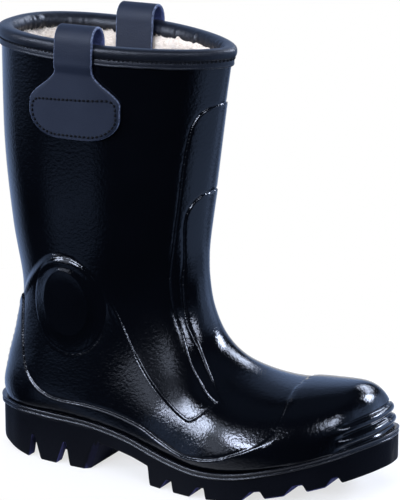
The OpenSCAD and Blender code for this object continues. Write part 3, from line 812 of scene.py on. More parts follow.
# %% Split the cells near the edges
split_reaches = (2.1, 0.85, -0.1)
row, column = np.meshgrid(np.arange(base_rows), np.arange(base_columns), indexing="ij")
cells_now = np.stack([row.ravel(), column.ravel()], 1) * block
leaves = []
size = block
for reach in split_reaches:
    station, angle = on_lattice(cells_now[:, 0] + size // 2, cells_now[:, 1] + size // 2)
    width = cell_size * size / block
    near = relief(skin(station, angle))[1] < reach + 0.7 * width
    leaves.append(np.column_stack([cells_now[~near], np.full((~near).sum(), size)]))
    size //= 2
    offsets = np.array([[0, 0], [0, size], [size, 0], [size, size]])
    cells_now = (cells_now[near][:, None] + offsets[None]).reshape(-1, 2)
leaves.append(np.column_stack([cells_now, np.full(len(cells_now), size)]))
leaves = np.vstack(leaves)
used = np.zeros((base_rows * block + 1, fine_columns), bool)
leaf_row, leaf_column, leaf_size = leaves.T
for down in (0, 1):
    for right in (0, 1):
        used[leaf_row + down * leaf_size, (leaf_column + right * leaf_size) % fine_columns] = True
number = np.cumsum(used).reshape(used.shape) - 1
print("cells:", len(leaves), "points:", used.sum())

# %% Faces and points of the upper
faces = []
for row, column, size in leaves.tolist():
    end = row + size
    across = [(column + step) % fine_columns for step in range(size + 1)]
    outline = [(row, place) for place in across[:-1]]
    outline += [(place, across[-1]) for place in range(row, end)]
    outline += [(end, place) for place in across[:0:-1]]
    outline += [(place, across[0]) for place in range(end, row, -1)]
    faces.append([int(number[place]) for place in outline if used[place]])
tip_ring = number[0][used[0]].tolist()
faces.append(tip_ring[::-1])

row, column = np.nonzero(used)
station, angle = on_lattice(row, column)
plain = skin(station, angle)
height = relief(plain)[0]
upper_lift = 0.25
points = rested(plain + outward(station, angle) * height[:, None], upper_lift)

shell_thick = 3.0
inside_columns = np.arange(base_columns) * block
inside_rows = np.arange(base_rows * block, 9 * block, -4 * block)
station, angle = on_lattice(inside_rows[:, None], inside_columns[None])
inner = skin(station, angle, shell_thick, 2.5)
first = len(points)
faces += grid_faces(len(inside_rows), base_columns, start=first)
faces.append([first + (len(inside_rows) - 1) * base_columns + k for k in range(base_columns)])
rim_row = number[-1][inside_columns]
for k in range(base_columns):
    on = (k + 1) % base_columns
    faces.append([int(rim_row[k]), int(rim_row[on]), first + on, first + k])
upper = make_piece("upper_moulding", np.vstack([points, inner.reshape(-1, 3)]), faces, [upper_gloss])
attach(upper, "boot")
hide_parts("upper_shell")
print("upper faces:", len(upper.data.polygons), "points:", len(upper.data.vertices))

# %% [markdown]
# ## The lugged sole
#
# The sole is moulded on in matte rubber: a heel block with two notches, an arched waist, and a forefoot
# whose lugs are parted by cross grooves and one long channel. Boolean cuts would leave long thin faces
# that shade badly. Every feature runs straight across, so the body is a row of cross sections instead,
# whose lower edge follows one tread line, with rounded lower edges. The welt on top is a swept strip
# with two beads and a slanting hatch.

# %% Tread line
welt_tall = 4.5
welt_out = 1.8
tread_depth = 8
notch_depth = 17
waist_thick = 14
toe_spring = 22.5
spring_start = 158
heel_bevel = [[0, 11], [8, 7], [20, 3], [37, 0]]
heel_front = 90
breast_slope = 8
heel_notches = [[37.5, 40.5, 43, 48.5], [62.5, 69, 71, 74]]
tread_start = 143.5
tread_grooves = [
    [153, 159, 163.5, 164.5], [179, 186, 191.5, 192.5], [219, 225, 231, 234], [246, 251, 257, 259.5],
    [270, 273, 276.5, 278.5]]
groove_share = [1, 1, 0.7, 0.7, 0.6]
sole_length = (sole_high.x - sole_low.x) / MM
spring_length = sole_length - spring_start
spring_radius = (spring_length ** 2 + toe_spring ** 2) / (2 * toe_spring)


def ground_at(x):
    """Height of the tread's lowest line, which rises along an arc towards the toe."""
    over = np.maximum(np.asarray(x, float) - spring_start, 0)
    return spring_radius - np.sqrt(spring_radius ** 2 - over ** 2)


def notch(corners, depth):
    """Four corners of a groove that is cut up into the tread."""
    return [[x, float(ground_at(x)) + up] for x, up in zip(corners, (0, depth, depth, 0))]


tread_line = [list(corner) for corner in heel_bevel]
for corners in heel_notches:
    tread_line += notch(corners, notch_depth)
tread_line.append([heel_front, 0])
for x in (heel_front + breast_slope, 110, 127, tread_start - 1.5):
    tread_line.append([x, float(welt_at(x)) - waist_thick])
tread_line.append([tread_start, 0])
for corners, share in zip(tread_grooves, groove_share):
    tread_line += notch(corners, tread_depth * share)
for x in np.linspace(tread_grooves[-1][-1] + 2, sole_length, 8):
    tread_line.append([x, float(ground_at(x))])
tread_line = np.array(tread_line)


def tread_at(x):
    """Tread line with its corners rounded over half a millimetre."""
    window = np.linspace(-0.6, 0.6, 7)
    spread = np.clip(np.asarray(x, float)[..., None] + window, 0, sole_length)
    return np.interp(spread, tread_line[:, 0], tread_line[:, 1]).mean(-1)


print("tread corners:", len(tread_line))

# %% Sole walls
def plan_normals(line):
    """Unit normals of a closed plan line, pointing out."""
    ahead = np.roll(line, -1, 0) - np.roll(line, 1, 0)
    out = np.stack([ahead[:, 1], -ahead[:, 0]], 1) / np.linalg.norm(ahead, axis=1)[:, None]
    return out if (out * (line - line.mean(0))).sum() > 0 else -out


def two_walls(line):
    """The outer and the inner wall of a closed plan line, both from heel to toe."""
    turned = np.roll(line, -int(np.argmin(line[:, 0])), 0)
    split = int(np.argmax(turned[:, 0]))
    return turned[:split + 1], np.vstack([turned[split:], turned[:1]])[::-1]


def wall_at(wall, x):
    """Sideways place of a wall."""
    return np.interp(x, wall[:, 0], wall[:, 1])


toe_out = 0.5
wall_in = welt_out + (toe_out - welt_out) * ease(plan_line[:, 0], 215, 285)
plan_out = plan_normals(plan_line)
outer_wall, inner_wall = two_walls(plan_line - wall_in[:, None] * plan_out)
heel_wall = 8
heel_rib = 12
pocket_high = 14
pocket_front = heel_front - heel_wall
outer_pocket, inner_pocket = two_walls(plan_line - (welt_out + heel_wall) * plan_out)
channel_half = 3
channel_mid = -2
channel_from = 140.5
channel_to = 269.5
channel_top = 6
heel_chamfer = 4
waist_z = float(welt_at(heel_front + breast_slope)) - waist_thick


def corner_cut(x, z):
    """How far the two front corners of the heel are cut in."""
    edge = heel_front + breast_slope * z / waist_z
    cut = np.clip(x - edge + heel_chamfer, 0, heel_chamfer) * (x < heel_front + breast_slope + 0.5)
    return cut * (1 - ease(z, waist_z - 1, waist_z + 1))


print("sole walls:", len(outer_wall), "and", len(inner_wall), "points")

# %% Places along the sole
low_x = outer_wall[0, 0]
high_x = outer_wall[-1, 0]
near_ends = np.array([0.02, 0.1, 0.3, 0.7, 1.3])
around_corners = (tread_line[:, 0][:, None] + np.array([-0.7, -0.35, 0, 0.35, 0.7])).ravel()
pocket_ends = np.array([pocket_front - 0.1, pocket_front + 0.1])
even_places = np.linspace(low_x + 0.02, high_x - 0.02, 150)
places = [even_places, low_x + near_ends, high_x - near_ends, around_corners, pocket_ends]
sole_x = np.unique(np.concatenate(places).round(3))
sole_x = sole_x[(sole_x > low_x + 0.01) & (sole_x < high_x - 0.01)]
low_y = wall_at(outer_wall, sole_x)
high_y = wall_at(inner_wall, sole_x)
floor_z = tread_at(sole_x)
roof_z = welt_at(sole_x) - welt_tall + 0.4
edge_round = np.minimum(1.0, 0.2 * (high_y - low_y))
bottom_cut = corner_cut(sole_x, floor_z)
bottom_left = low_y + bottom_cut + edge_round
bottom_right = high_y - bottom_cut - edge_round
print("sole sections:", len(sole_x))

# %% Heel pockets and long channel
at_heel = sole_x < heel_front + 20
quarter = (high_y - low_y) / 4
pocket_left = np.minimum(wall_at(outer_pocket, sole_x), -heel_rib / 2 - 1)
pocket_right = np.maximum(wall_at(inner_pocket, sole_x), heel_rib / 2 + 1)
hollow = (sole_x < pocket_front) & (pocket_left < -heel_rib / 2 - 2) & (pocket_left > bottom_left + 2)
in_channel = ease(sole_x, channel_from - 0.5, channel_from + 0.5)
in_channel = in_channel * (1 - ease(sole_x, channel_to - 0.5, channel_to + 0.5))
first_gap = (
    np.where(at_heel, pocket_left, channel_mid - channel_half),
    np.where(at_heel, -heel_rib / 2, channel_mid + channel_half))
# In front of the heel the second gap has no depth, and only keeps the sections alike.
second_gap = (
    np.where(at_heel, heel_rib / 2, channel_mid + 9),
    np.where(at_heel, pocket_right, channel_mid + 15))
first_top = np.where(at_heel, pocket_high * hollow, channel_top * in_channel)
second_top = pocket_high * hollow * at_heel
print("sections with heel pockets:", hollow.sum(), "with the channel:", (in_channel > 0).sum())

# %% Rows round a section
rows = []


def bottom_rows(start, end, count):
    """Flat stretch of the tread between two sideways places."""
    for share in np.linspace(0, 1, count)[:-1]:
        rows.append((start + share * (end - start), floor_z))


def gap_wall(edge):
    """One wall of a gap, kept away from the sole's sides where there is no pocket."""
    kept = np.clip(edge, low_y + 1.2 * quarter, high_y - 1.2 * quarter)
    return np.where(at_heel & hollow, edge, kept)


def gap_rows(gap, top):
    """A groove or pocket with steep walls."""
    left, right = (gap_wall(edge) for edge in gap)
    roof = np.maximum(floor_z, top)
    rows.extend([(left, floor_z), (left + 0.3, roof), (right - 0.3, roof), (right, floor_z)])


def edge_rows(bottom, turns):
    """Rounded lower edge."""
    for turn in np.radians(turns):
        rows.append((bottom + edge_round * np.cos(turn), floor_z + edge_round * (1 + np.sin(turn))))


def wall_rows(wall_y, inward, shares):
    """Side wall, cut in at the front corners of the heel."""
    for share in shares:
        level = floor_z + edge_round + share * (roof_z - floor_z - edge_round)
        rows.append((wall_y + inward * corner_cut(sole_x, level), level))


print("sharpest lower edge, mm:", edge_round.min().round(2), "roundest:", edge_round.max().round(2))

# %% Sole
bottom_rows(bottom_left, gap_wall(first_gap[0]), 6)
gap_rows(first_gap, first_top)
bottom_rows(rows[-1][0], np.maximum(rows[-1][0], second_gap[0]), 4)
gap_rows(second_gap, second_top)
bottom_rows(rows[-1][0], bottom_right, 6)
rows.append((bottom_right, floor_z))
wall_shares = np.linspace(0, 1, 12)[1:]
edge_rows(bottom_right, [-60, -30, 0])
wall_rows(high_y, -1, wall_shares)
wall_rows(low_y, 1, wall_shares[::-1])
edge_rows(bottom_left, [180, 210, 240])
ring_y = np.stack([row[0] for row in rows], 1)
ring_z = np.stack([row[1] for row in rows], 1)
around = ring_y.shape[1]
points = np.stack([np.repeat(sole_x[:, None], around, 1), ring_y, ring_z], -1)
faces = grid_faces(len(sole_x), around)
faces.append(list(range(around)))
faces.append([(len(sole_x) - 1) * around + k for k in range(around)])
sole = make_piece("sole_moulding", points.reshape(-1, 3), faces, [sole_rubber])
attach(sole, "boot")
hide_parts("outsole")
print("sole points:", len(sole.data.vertices), "round each section:", around)

# %% Welt strip
welt_spacing = 0.4
welt_path = even_line(plan_line, welt_spacing, closed=True)
path_out = plan_normals(welt_path)


def bead_arc(middle, height, radius, start, end):
    """Points of the welt's profile round one bead."""
    turns = np.radians(np.linspace(start, end, 6))
    return [(middle + radius * math.cos(turn), height + radius * math.sin(turn)) for turn in turns]


hatched_band = [(-0.55, -3.35), (-0.5, -2.9), (-0.5, -2.4), (-0.5, -1.9), (-0.5, -1.45)]
profile = [(-9, -4.6), (-1.9, -4.6)]
profile += bead_arc(-0.75, -3.95, 0.6, -95, 40) + hatched_band + bead_arc(-0.8, -0.8, 0.8, -25, 95)
profile += [(-2.2, -0.1), (-9, 0.0)]
profile = np.array(profile)
hatch_pitch = 2.0
hatch_slant = 1.9
hatch_high = 0.28
along = np.arange(len(welt_path)) * welt_spacing
on_band = hump(profile[:, 1] + 2.4, 1.5)
wave = np.cos(2 * np.pi * (along[:, None] / hatch_pitch + profile[None, :, 1] / hatch_slant))
out = profile[None, :, 0] + hatch_high * wave * on_band[None]
points = np.empty((len(welt_path), len(profile), 3))
points[..., :2] = welt_path[:, None] + out[..., None] * path_out[:, None]
points[..., 2] = welt_at(points[..., 0]) + profile[None, :, 1]
faces = grid_faces(len(welt_path), len(profile), wrap_rows=True)
welt = make_piece("welt_strip", points.reshape(-1, 3), faces, [welt_rubber])
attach(welt, "boot")
print("welt columns:", len(welt_path))

# %% [markdown]
# ## The fleece lining and the footbed
#
# The lining is a deep acrylic pile on a knitted back, sewn as two halves and turned over the rim. Hair
# would show loose fibres, but it leaves no solid to hand on. So the lining is meshed as one thick skin
# whose inner face is raised into clumps of pile. The loose footbed is a thin felted sheet that lifts
# out by its heel: its CAD shape is remeshed into small even cells and roughened.

# %% Fleece lining
lining_columns = 300
lining_rows = 190
lining_sweep = np.arange(lining_columns) / lining_columns * 360 - 90
lining_end = 2.2
pile_start = 5
pile_lift = 8.0
backing_inset = 3.6
backing_lift = 5.2
down = np.linspace(0, 1, lining_rows)
dense = np.linspace(rim_station, lining_end, 600)
walked = walked_along(skin(dense[:, None], lining_sweep[None, ::10]))
drop = pile_start + down * (walked[-1] - pile_start)
station = np.interp(drop, walked, dense)
# The pile is thicker up the leg and at the toe, and thins out under the binding.
pile_depth = 7.3 + 3 * ease(station, 6, 11) + 2 * (1 - ease(station, 5, 7))
pile_depth -= 3.0 * (1 - ease(drop, 5, 12))
clumps = np.zeros((lining_rows, lining_columns))
for lump, passes in ((0.45, 2), (0.5, 7), (0.4, 40)):
    clumps += lump * soft_noise(lining_rows, lining_columns, passes)
swell = 1.2 * ease(drop, 8, 13) * (1 - ease(drop, 16, 40))
inset = pile_depth[:, None] + clumps + swell[:, None]
pile = skin(station[:, None], lining_sweep[None], inset, pile_lift)
back_rows = np.linspace(lining_rows - 1, 0, 24).astype(int)
backing = skin(station[back_rows, None], lining_sweep[None], backing_inset, backing_lift)
points = np.vstack([pile.reshape(-1, 3), backing.reshape(-1, 3)])
faces = grid_faces(lining_rows + len(back_rows), lining_columns, wrap_rows=True)
lining = make_piece("fleece_lining", points, faces, [fleece_pile])
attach(lining, "boot")
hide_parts("lining_outer_half", "lining_inner_half")
print("lining faces:", len(faces))

# %% Footbed
footbed_cell = 0.0013
footbed_fuzz = 0.00018
footbed_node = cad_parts["footbed"]
footbed_mesh = footbed_node.data.copy()
footbed_mesh.transform(footbed_node.matrix_world)
footbed = bpy.data.objects.new("footbed_fleece", footbed_mesh)
bpy.context.collection.objects.link(footbed)
remesh = footbed.modifiers.new("even cells", "REMESH")
remesh.mode = "VOXEL"
remesh.voxel_size = footbed_cell
smooth = footbed.modifiers.new("rounded edges", "SMOOTH")
smooth.iterations = 4
fine_mesh = bpy.data.meshes.new_from_object(footbed.evaluated_get(bpy.context.evaluated_depsgraph_get()))
footbed.modifiers.clear()
footbed.data = fine_mesh
spots = np.empty(3 * len(fine_mesh.vertices), np.float32)
fine_mesh.vertices.foreach_get("co", spots)
spots = spots.reshape(-1, 3)
normals = np.empty_like(spots)
fine_mesh.vertices.foreach_get("normal", normals.reshape(-1))
spots += normals * random.normal(0, footbed_fuzz, (len(spots), 1)).astype(np.float32)
fine_mesh.vertices.foreach_set("co", spots.reshape(-1))
fine_mesh.polygons.foreach_set("use_smooth", np.ones(len(fine_mesh.polygons), bool))
fine_mesh.materials.clear()
fine_mesh.materials.append(footbed_pile)
fine_mesh.update()
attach(footbed, "loose_footbed")
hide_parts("footbed")
print("footbed faces:", len(fine_mesh.polygons))

# %% [markdown]
# ## The rim binding
#
# A strip of satin leatherette is folded over the rim and sewn through. It bulges above the stitch line,
# lies flat below it, and on the inside it gathers in small puckers where the strip turns the tight
# curves at the shin and the calf. A bevelled curve would do for an even strip. This one is a closed
# profile swept round the rim in code, so that every row can take its own pucker.

# %% Binding
binding_profile = np.array([
    [-0.1, 11.1], [-1.0, 11.3], [-1.4, 10.7], [-1.15, 9.8], [-1.05, 8.2], [-0.7, 6.5], [-1.0, 5.7],
    [-1.8, 4.7], [-2.15, 3.0], [-2.0, 1.1], [-1.3, -0.6], [0.2, -1.6], [2.4, -2.0], [4.8, -1.9],
    [7.0, -1.2], [8.7, 0.3], [9.6, 2.2], [9.9, 4.4], [9.6, 6.4], [8.9, 7.6], [8.0, 7.9], [7.0, 7.0],
    [6.2, 4.2], [4.2, 1.4], [2.2, 0.9], [0.7, 2.2], [0.3, 6.5]])
seam_drop = 6.5
profile = closed_curve(binding_profile, np.arange(0, len(binding_profile), 1 / 3))
rim_columns = 640
walked = walked_along(skin(rim_station, sweep))
rim_length = walked[-1]
rim_angle = np.interp(np.arange(rim_columns) / rim_columns * rim_length, walked, sweep)


def on_rim(angle, inset, drop):
    """Points near the rim: inset from the skin, and a drop below the edge, negative above it."""
    steps = np.linspace(rim_station, rim_station - 1.2, 61)
    rings = skin(steps[:, None], angle[None])
    lengths = np.cumsum(np.linalg.norm(np.diff(rings, axis=0), axis=2), axis=0)
    lengths = np.vstack([np.zeros(len(angle)), lengths])
    station = np.stack([np.interp(drop[k], lengths[:, k], steps) for k in range(len(angle))])
    points = skin(station, angle[:, None], inset)
    points[..., 2] += np.maximum(-drop, 0)
    return points


at_calf = hump(rim_angle + 90, 70)
at_shin = hump(rim_angle - 90, 50)
pucker = soft_noise(1, rim_columns, 6)[0] * (0.25 + 0.55 * at_calf + 0.55 * at_shin)
ragged = soft_noise(1, rim_columns, 1)[0]
wavy = soft_noise(1, rim_columns, 120)[0]
inner_side = ease(profile[:, 0], 6, 9)
lower_side = ease(profile[:, 1], 3, 9) * inner_side
inset = profile[None, :, 0] + 0.55 * pucker[:, None] * inner_side[None]
on_flange = profile[:, 1] > 9
drop = profile[None, :, 1] + 0.7 * ragged[:, None] * lower_side[None]
drop = drop + 0.15 * wavy[:, None] * on_flange[None]
points = on_rim(rim_angle, inset, drop)
faces = grid_faces(rim_columns, len(profile), wrap_rows=True)
binding = make_piece("rim_binding", points.reshape(-1, 3), faces, [binding_satin])
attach(binding, "boot")
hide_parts("top_binding")
print("binding length, mm:", round(rim_length))

# %% Stitches
stitch_pitch = 3.2
stitch_length = 2.3
stitch_radius = 0.55
patch_stitch_radius = 0.8


def make_stitches(name, path, normals, radius):
    """Short arched capsules along a closed path of surface points."""
    ahead = np.roll(path, -1, 0) - np.roll(path, 1, 0)
    ahead /= np.linalg.norm(ahead, axis=1)[:, None]
    beside = np.cross(normals, ahead)
    rings = [(-1.0, 0.05, -0.25), (-0.8, 0.75, 0.0), (-0.3, 1.0, 0.22)]
    rings += [(-place, share, rise) for place, share, rise in rings[::-1]]
    turns = np.radians(np.arange(0, 360, 60))
    points = np.empty((len(path), len(rings), len(turns), 3))
    for k, (place, share, rise) in enumerate(rings):
        middle = path + ahead * place * stitch_length / 2 + normals * rise
        for j, turn in enumerate(turns):
            points[:, k, j] = middle + radius * share * (math.cos(turn) * beside + math.sin(turn) * normals)
    faces = []
    each = len(rings) * len(turns)
    for k in range(len(path)):
        faces += grid_faces(len(rings), len(turns), start=k * each)
        faces.append([k * each + j for j in range(len(turns))])
        faces.append([k * each + each - 1 - j for j in range(len(turns))])
    return make_piece(name, points.reshape(-1, 3), faces, [thread_wax])


stitch_count = round(rim_length / stitch_pitch)
stitch_angle = np.interp(np.arange(stitch_count) / stitch_count * rim_length, walked, sweep)
seam = on_rim(stitch_angle, -0.8, np.full((stitch_count, 1), seam_drop))[:, 0]
seam_out = outward(np.full(stitch_count, rim_station - 0.15), stitch_angle)
rim_stitches = make_stitches("rim_stitches", seam, seam_out, stitch_radius)
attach(rim_stitches, "boot")
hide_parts("binding_stitches")
print("rim stitches:", stitch_count)

# %% [markdown]
# ## The pull straps
#
# Each strap is one length of coated leather with a felt back. Its wide patch is sewn to the outside of
# the leg, its neck climbs over the binding into a loop, and its tail goes down inside. Three pieces set
# end to end would show their joins when the loop tilts. So it is one sheet here too, bent along one
# path. The patch is left bare.

# %% Strap shape
strap_wide = 29
strap_thick = 2.2
patch_wide = 69
patch_drop = 65
patch_corner = (23, 17)
flare_ends = (17, 40)
tail_drop = 42
outer_lean = 4.4
loop_low, loop_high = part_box("outer_strap_loop")
far_low, far_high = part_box("inner_strap_loop")
loop_x = {
    -1: (loop_low.x + loop_high.x) / 2 / MM - to_frame[0],
    1: (far_low.x + far_high.x) / 2 / MM - to_frame[0]}
strap_z = float(rim_height((loop_x[-1] + loop_x[1]) / 2))
loop_top = loop_high.z / MM - strap_thick / 2
outer_leg = -(loop_low.y / MM - to_frame[1]) + leg_mid - strap_thick / 2 + 0.4
inner_leg = -(loop_high.y / MM - to_frame[1]) + leg_mid + strap_thick / 2
arch_base = strap_z + 1.5


def patch_half(drop):
    """Half the strap's width, from the neck out to the patch and its rounded lower corners."""
    wide = strap_wide / 2 + (patch_wide - strap_wide) / 2 * ease(drop, *flare_ends)
    below = np.clip((drop - (patch_drop - patch_corner[1])) / patch_corner[1], 0, 1)
    return wide - patch_corner[0] * (1 - np.sqrt(1 - below ** 2))


def strap_x(side, drop):
    """Middle of the strap. The patch of the outer one leans back."""
    return loop_x[side] - (outer_lean if side < 0 else 0) * np.clip(np.asarray(drop) / 45, 0, 1)


def patch_out(side, x, drop):
    """Distance of the strap's middle layer from the leg's mid plane, on the outside."""
    leg = np.abs(side_point(x, strap_z - drop, side)[..., 1] - leg_mid)
    leg = leg + 0.35 + strap_thick / 2 + 2.0 * (1 - ease(drop, 12, 20))
    straight = 1 - ease(drop, 0, 11)
    return leg * (1 - straight) + outer_leg * straight


print("strap loops at x, mm:", round(loop_x[-1], 2), "and", round(loop_x[1], 2))

# %% Strap sheets
lean_drops = (24.0, 50.0)
edge_bevel = 0.7
edge_share = 0.55
patch_row = 30


def strap_sheet(side):
    """Middle layer of a strap: rows of points across it, from the patch over the loop to the tail."""
    low_turns = np.radians(np.linspace(90, 0, 22))
    low_drops = patch_drop - patch_corner[1] * (1 - np.sin(low_turns))
    drops = np.concatenate([low_drops, np.linspace(patch_drop - patch_corner[1] - 1.5, 0, 38)])
    turns = np.radians(np.linspace(0, 180, 25))
    tails = np.linspace(0, tail_drop - 1, 22)
    middle_x = strap_x(side, 0)
    high, low = (patch_out(side, middle_x, drop) for drop in lean_drops)
    lean = (low - high) / (lean_drops[1] - lean_drops[0])
    above = len(turns) + len(tails)
    half = np.concatenate([patch_half(drops), np.full(above, strap_wide / 2)])
    middles = np.concatenate([strap_x(side, drops), np.full(above, loop_x[side])])
    ends = np.ones((len(half), 1))
    inner_places = np.linspace(-1, 1, 15)[None] * (1 - edge_bevel / half[:, None])
    across = np.concatenate([-ends, inner_places, ends], 1)
    x = middles[:, None] + across * half[:, None]
    out = np.empty_like(x)
    z = np.empty_like(x)
    first = len(drops)
    out[:first] = patch_out(side, x[:first], drops[:, None])
    z[:first] = strap_z - drops[:, None]
    middle = (outer_leg + inner_leg) / 2
    spread = (outer_leg - inner_leg) / 2
    loop = slice(first, first + len(turns))
    out[loop] = (middle + spread * np.cos(turns))[:, None]
    z[loop] = (arch_base + (loop_top - arch_base) * np.sin(turns))[:, None]
    out[loop.stop:] = (inner_leg + lean * tails)[:, None]
    z[loop.stop:] = (strap_z - tails)[:, None]
    return np.stack([x, leg_mid + side * out, z], -1)


def make_strap(name, side):
    """One strap as a bent sheet with a grain face, a felt face and cut edges."""
    sheet = strap_sheet(side)
    rows, wide = sheet.shape[:2]
    normal = np.cross(np.gradient(sheet, axis=0), np.gradient(sheet, axis=1))
    normal /= np.linalg.norm(normal, axis=-1, keepdims=True)
    if normal[patch_row, wide // 2, 1] * side < 0:
        normal = -normal
    share = np.ones(wide)
    share[[0, -1]] = edge_share
    offset = normal * (strap_thick / 2 * share)[None, :, None]
    ring = np.concatenate([sheet + offset, (sheet - offset)[:, ::-1]], 1)
    faces = grid_faces(rows, 2 * wide)
    faces.append(list(range(2 * wide)))
    faces.append([(rows - 1) * 2 * wide + k for k in range(2 * wide)])
    grain, felt, cut = 0, 1, 2
    across = [cut] + [grain] * (wide - 3) + [cut, cut] + [felt] * (wide - 1) + [cut]
    slots = across * (rows - 1) + [cut, cut]
    return make_piece(name, ring.reshape(-1, 3), faces, [strap_leather, strap_felt, strap_edge], slots)


print("rows and columns of a strap:", strap_sheet(-1).shape[:2])

# %% Sewing line of a patch
seam_edge = 2.6
seam_top = 38.5
seam_corner = 6
seam_raised = 2.5


def sewing_path(side):
    """Closed line of stitches round the patch, on the face of the leather."""
    top_turns = np.radians(np.linspace(90, 0, 12))
    low_turns = np.radians(np.linspace(0, 90, 30))
    top_drops = seam_top + seam_corner * (1 - np.sin(top_turns))
    low_drops = patch_drop - patch_corner[1] + (patch_corner[1] - seam_edge) * np.sin(low_turns)
    drops = np.concatenate([top_drops, low_drops])
    half = patch_half(np.clip(drops, flare_ends[1], patch_drop - patch_corner[1])) - seam_edge
    top_in = seam_corner * (1 - np.cos(top_turns))
    low_in = (patch_corner[0] - seam_edge) * (1 - np.cos(low_turns))
    half -= np.concatenate([top_in, low_in])
    middle = strap_x(side, drops)
    raised = seam_raised * (1 - ease(drops, 39, 50))
    left = np.stack([middle - half, drops], 1)
    right = np.stack([middle + half, drops - raised], 1)[::-1]
    flat = even_line(np.vstack([left, right]), stitch_pitch, closed=True)
    out = patch_out(side, flat[:, 0], flat[:, 1]) + strap_thick / 2 + 0.1
    return np.stack([flat[:, 0], leg_mid + side * out, strap_z - flat[:, 1]], 1)


print("length of the patch, mm:", patch_drop)

# %% Both straps
for side, word in ((-1, "outer"), (1, "inner")):
    strap = make_strap(word + "_strap", side)
    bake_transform(strap)
    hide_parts(word + "_strap_patch", word + "_strap_loop", word + "_strap_tail")
    path = sewing_path(side)
    facing = np.tile([0.0, side, 0.0], (len(path), 1))
    patch_stitches = make_stitches(word + "_strap_stitches", path, facing, patch_stitch_radius)
    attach(patch_stitches, "boot")
    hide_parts(word + "_patch_stitches")
    print(word, "strap faces:", len(strap.data.polygons), "stitches:", len(path))

# %% [markdown]
# ## Pieces inside the boot
#
# The toe cap, its edge strip, the puncture plate, the insulating board, the heel cushion and the insole
# board are hidden in the finished boot. Their CAD shapes are right, so they only get finishes.

# %% Finishes of the hidden pieces
def plain_finish(name, dark, pale, scale, roughness, metallic=0.0):
    """A mottled finish for a hidden piece."""
    finish, place, shader = start_finish(name, {"Metallic": metallic})
    mottle = noise(place, scale, 4, 0.6)
    plug(mixed(mottle.ramp(0.3, 0.7), dark, pale), shader, "Base Color")
    plug(roughness + 0.15 * mottle, shader, "Roughness")
    plug(bumped(mottle, 0.0002), shader, "Normal")
    return finish


hidden_finishes = {
    "toe_cap": plain_finish("pressed_steel", (0.40, 0.41, 0.43), (0.60, 0.61, 0.63), 120, 0.3, 1.0),
    "toe_cap_edge": plain_finish("edge_rubber", (0.06, 0.06, 0.07), (0.12, 0.12, 0.13), 300, 0.6),
    "puncture_plate": plain_finish("spring_steel", (0.45, 0.46, 0.48), (0.65, 0.66, 0.68), 90, 0.25, 1.0),
    "insulating_board": plain_finish("needled_fibre", (0.36, 0.29, 0.20), (0.56, 0.48, 0.35), 500, 0.8),
    "heel_cushion": plain_finish("soft_foam", (0.62, 0.26, 0.05), (0.80, 0.40, 0.10), 800, 0.7),
    "insole_board": plain_finish("pressed_fibre", (0.35, 0.24, 0.14), (0.52, 0.38, 0.24), 400, 0.7)}
for name, finish in hidden_finishes.items():
    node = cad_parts[name]
    node.data.materials.clear()
    node.data.materials.append(finish)
print("hidden pieces:", len(hidden_finishes))

# %% [markdown]
# ## Floor, light and camera
#
# The photograph is a cut-out on white: a dark studio with a soft box in front on the left, another high
# behind the boot, and dim pale walls that the gloss picks up as long soft streaks. The world shader
# holds them as patches of sky, so they stay the same from every side. The camera sees plain white.

# %% Floor
floor_radius = 0.5
floor_middle = (0.0, 0.09)
floor_fade = (0.13, 0.23)
floor_glow = 0.68
disc = bmesh.new()
bmesh.ops.create_circle(disc, cap_ends=True, segments=96, radius=floor_radius)
floor_mesh = bpy.data.meshes.new("floor")
disc.to_mesh(floor_mesh)
disc.free()
floor = bpy.data.objects.new("floor", floor_mesh)
bpy.context.collection.objects.link(floor)
floor.location = (*floor_middle, -0.0002)
floor_paint, place, shader = start_finish("floor_paint", {"Roughness": 0.9, "Specular IOR Level": 0.1})
distance = place.add("VectorMath", {"operation": "LENGTH"}, {0: place}, output="Value")
plug(mixed(noise(place, 8), (0.90, 0.90, 0.91), (0.93, 0.93, 0.94)), shader, "Base Color")
plug(1.0 - distance.ramp(*floor_fade), shader, "Alpha")
seen = place.add("LightPath", output="Is Camera Ray")
glow = place.add("Emission", None, {"Color": (1, 1, 1, 1), "Strength": 1.0})
paint = Shade(place.tree, shader.outputs[0])
show(place.add("MixShader", None, {0: seen * floor_glow, 1: paint, 2: glow}))
floor_mesh.materials.append(floor_paint)
print("floor radius, m:", floor_radius)

# %% Directions of the studio
camera_azimuth = 27.0
camera_elevation = 15.0
world = bpy.data.worlds.new("studio")
bpy.context.scene.world = world
world.use_nodes = True
tree = world.node_tree
tree.nodes.clear()
way = Shade(tree, tree.nodes.new("ShaderNodeTexCoord").outputs["Generated"])
east, north, up = (way.add("SeparateXYZ", None, {0: way}, output=axis) for axis in ("X", "Y", "Z"))
azimuth = east.math("ARCTAN2", -north) * (180 / math.pi)
back_azimuth = (-east).math("ARCTAN2", north) * (180 / math.pi)
elevation = up.math("ARCSINE") * (180 / math.pi)


def card(strength, turn, left, right, low, high, soft):
    """A soft-edged patch of the studio, by azimuth and elevation in degrees."""
    sides = turn.ramp(left - soft, left + soft) * (1.0 - turn.ramp(right - soft, right + soft))
    levels = elevation.ramp(low - soft, low + soft) * (1.0 - elevation.ramp(high - soft, high + soft))
    return strength * (sides * levels)


print("camera azimuth and elevation:", camera_azimuth, camera_elevation)

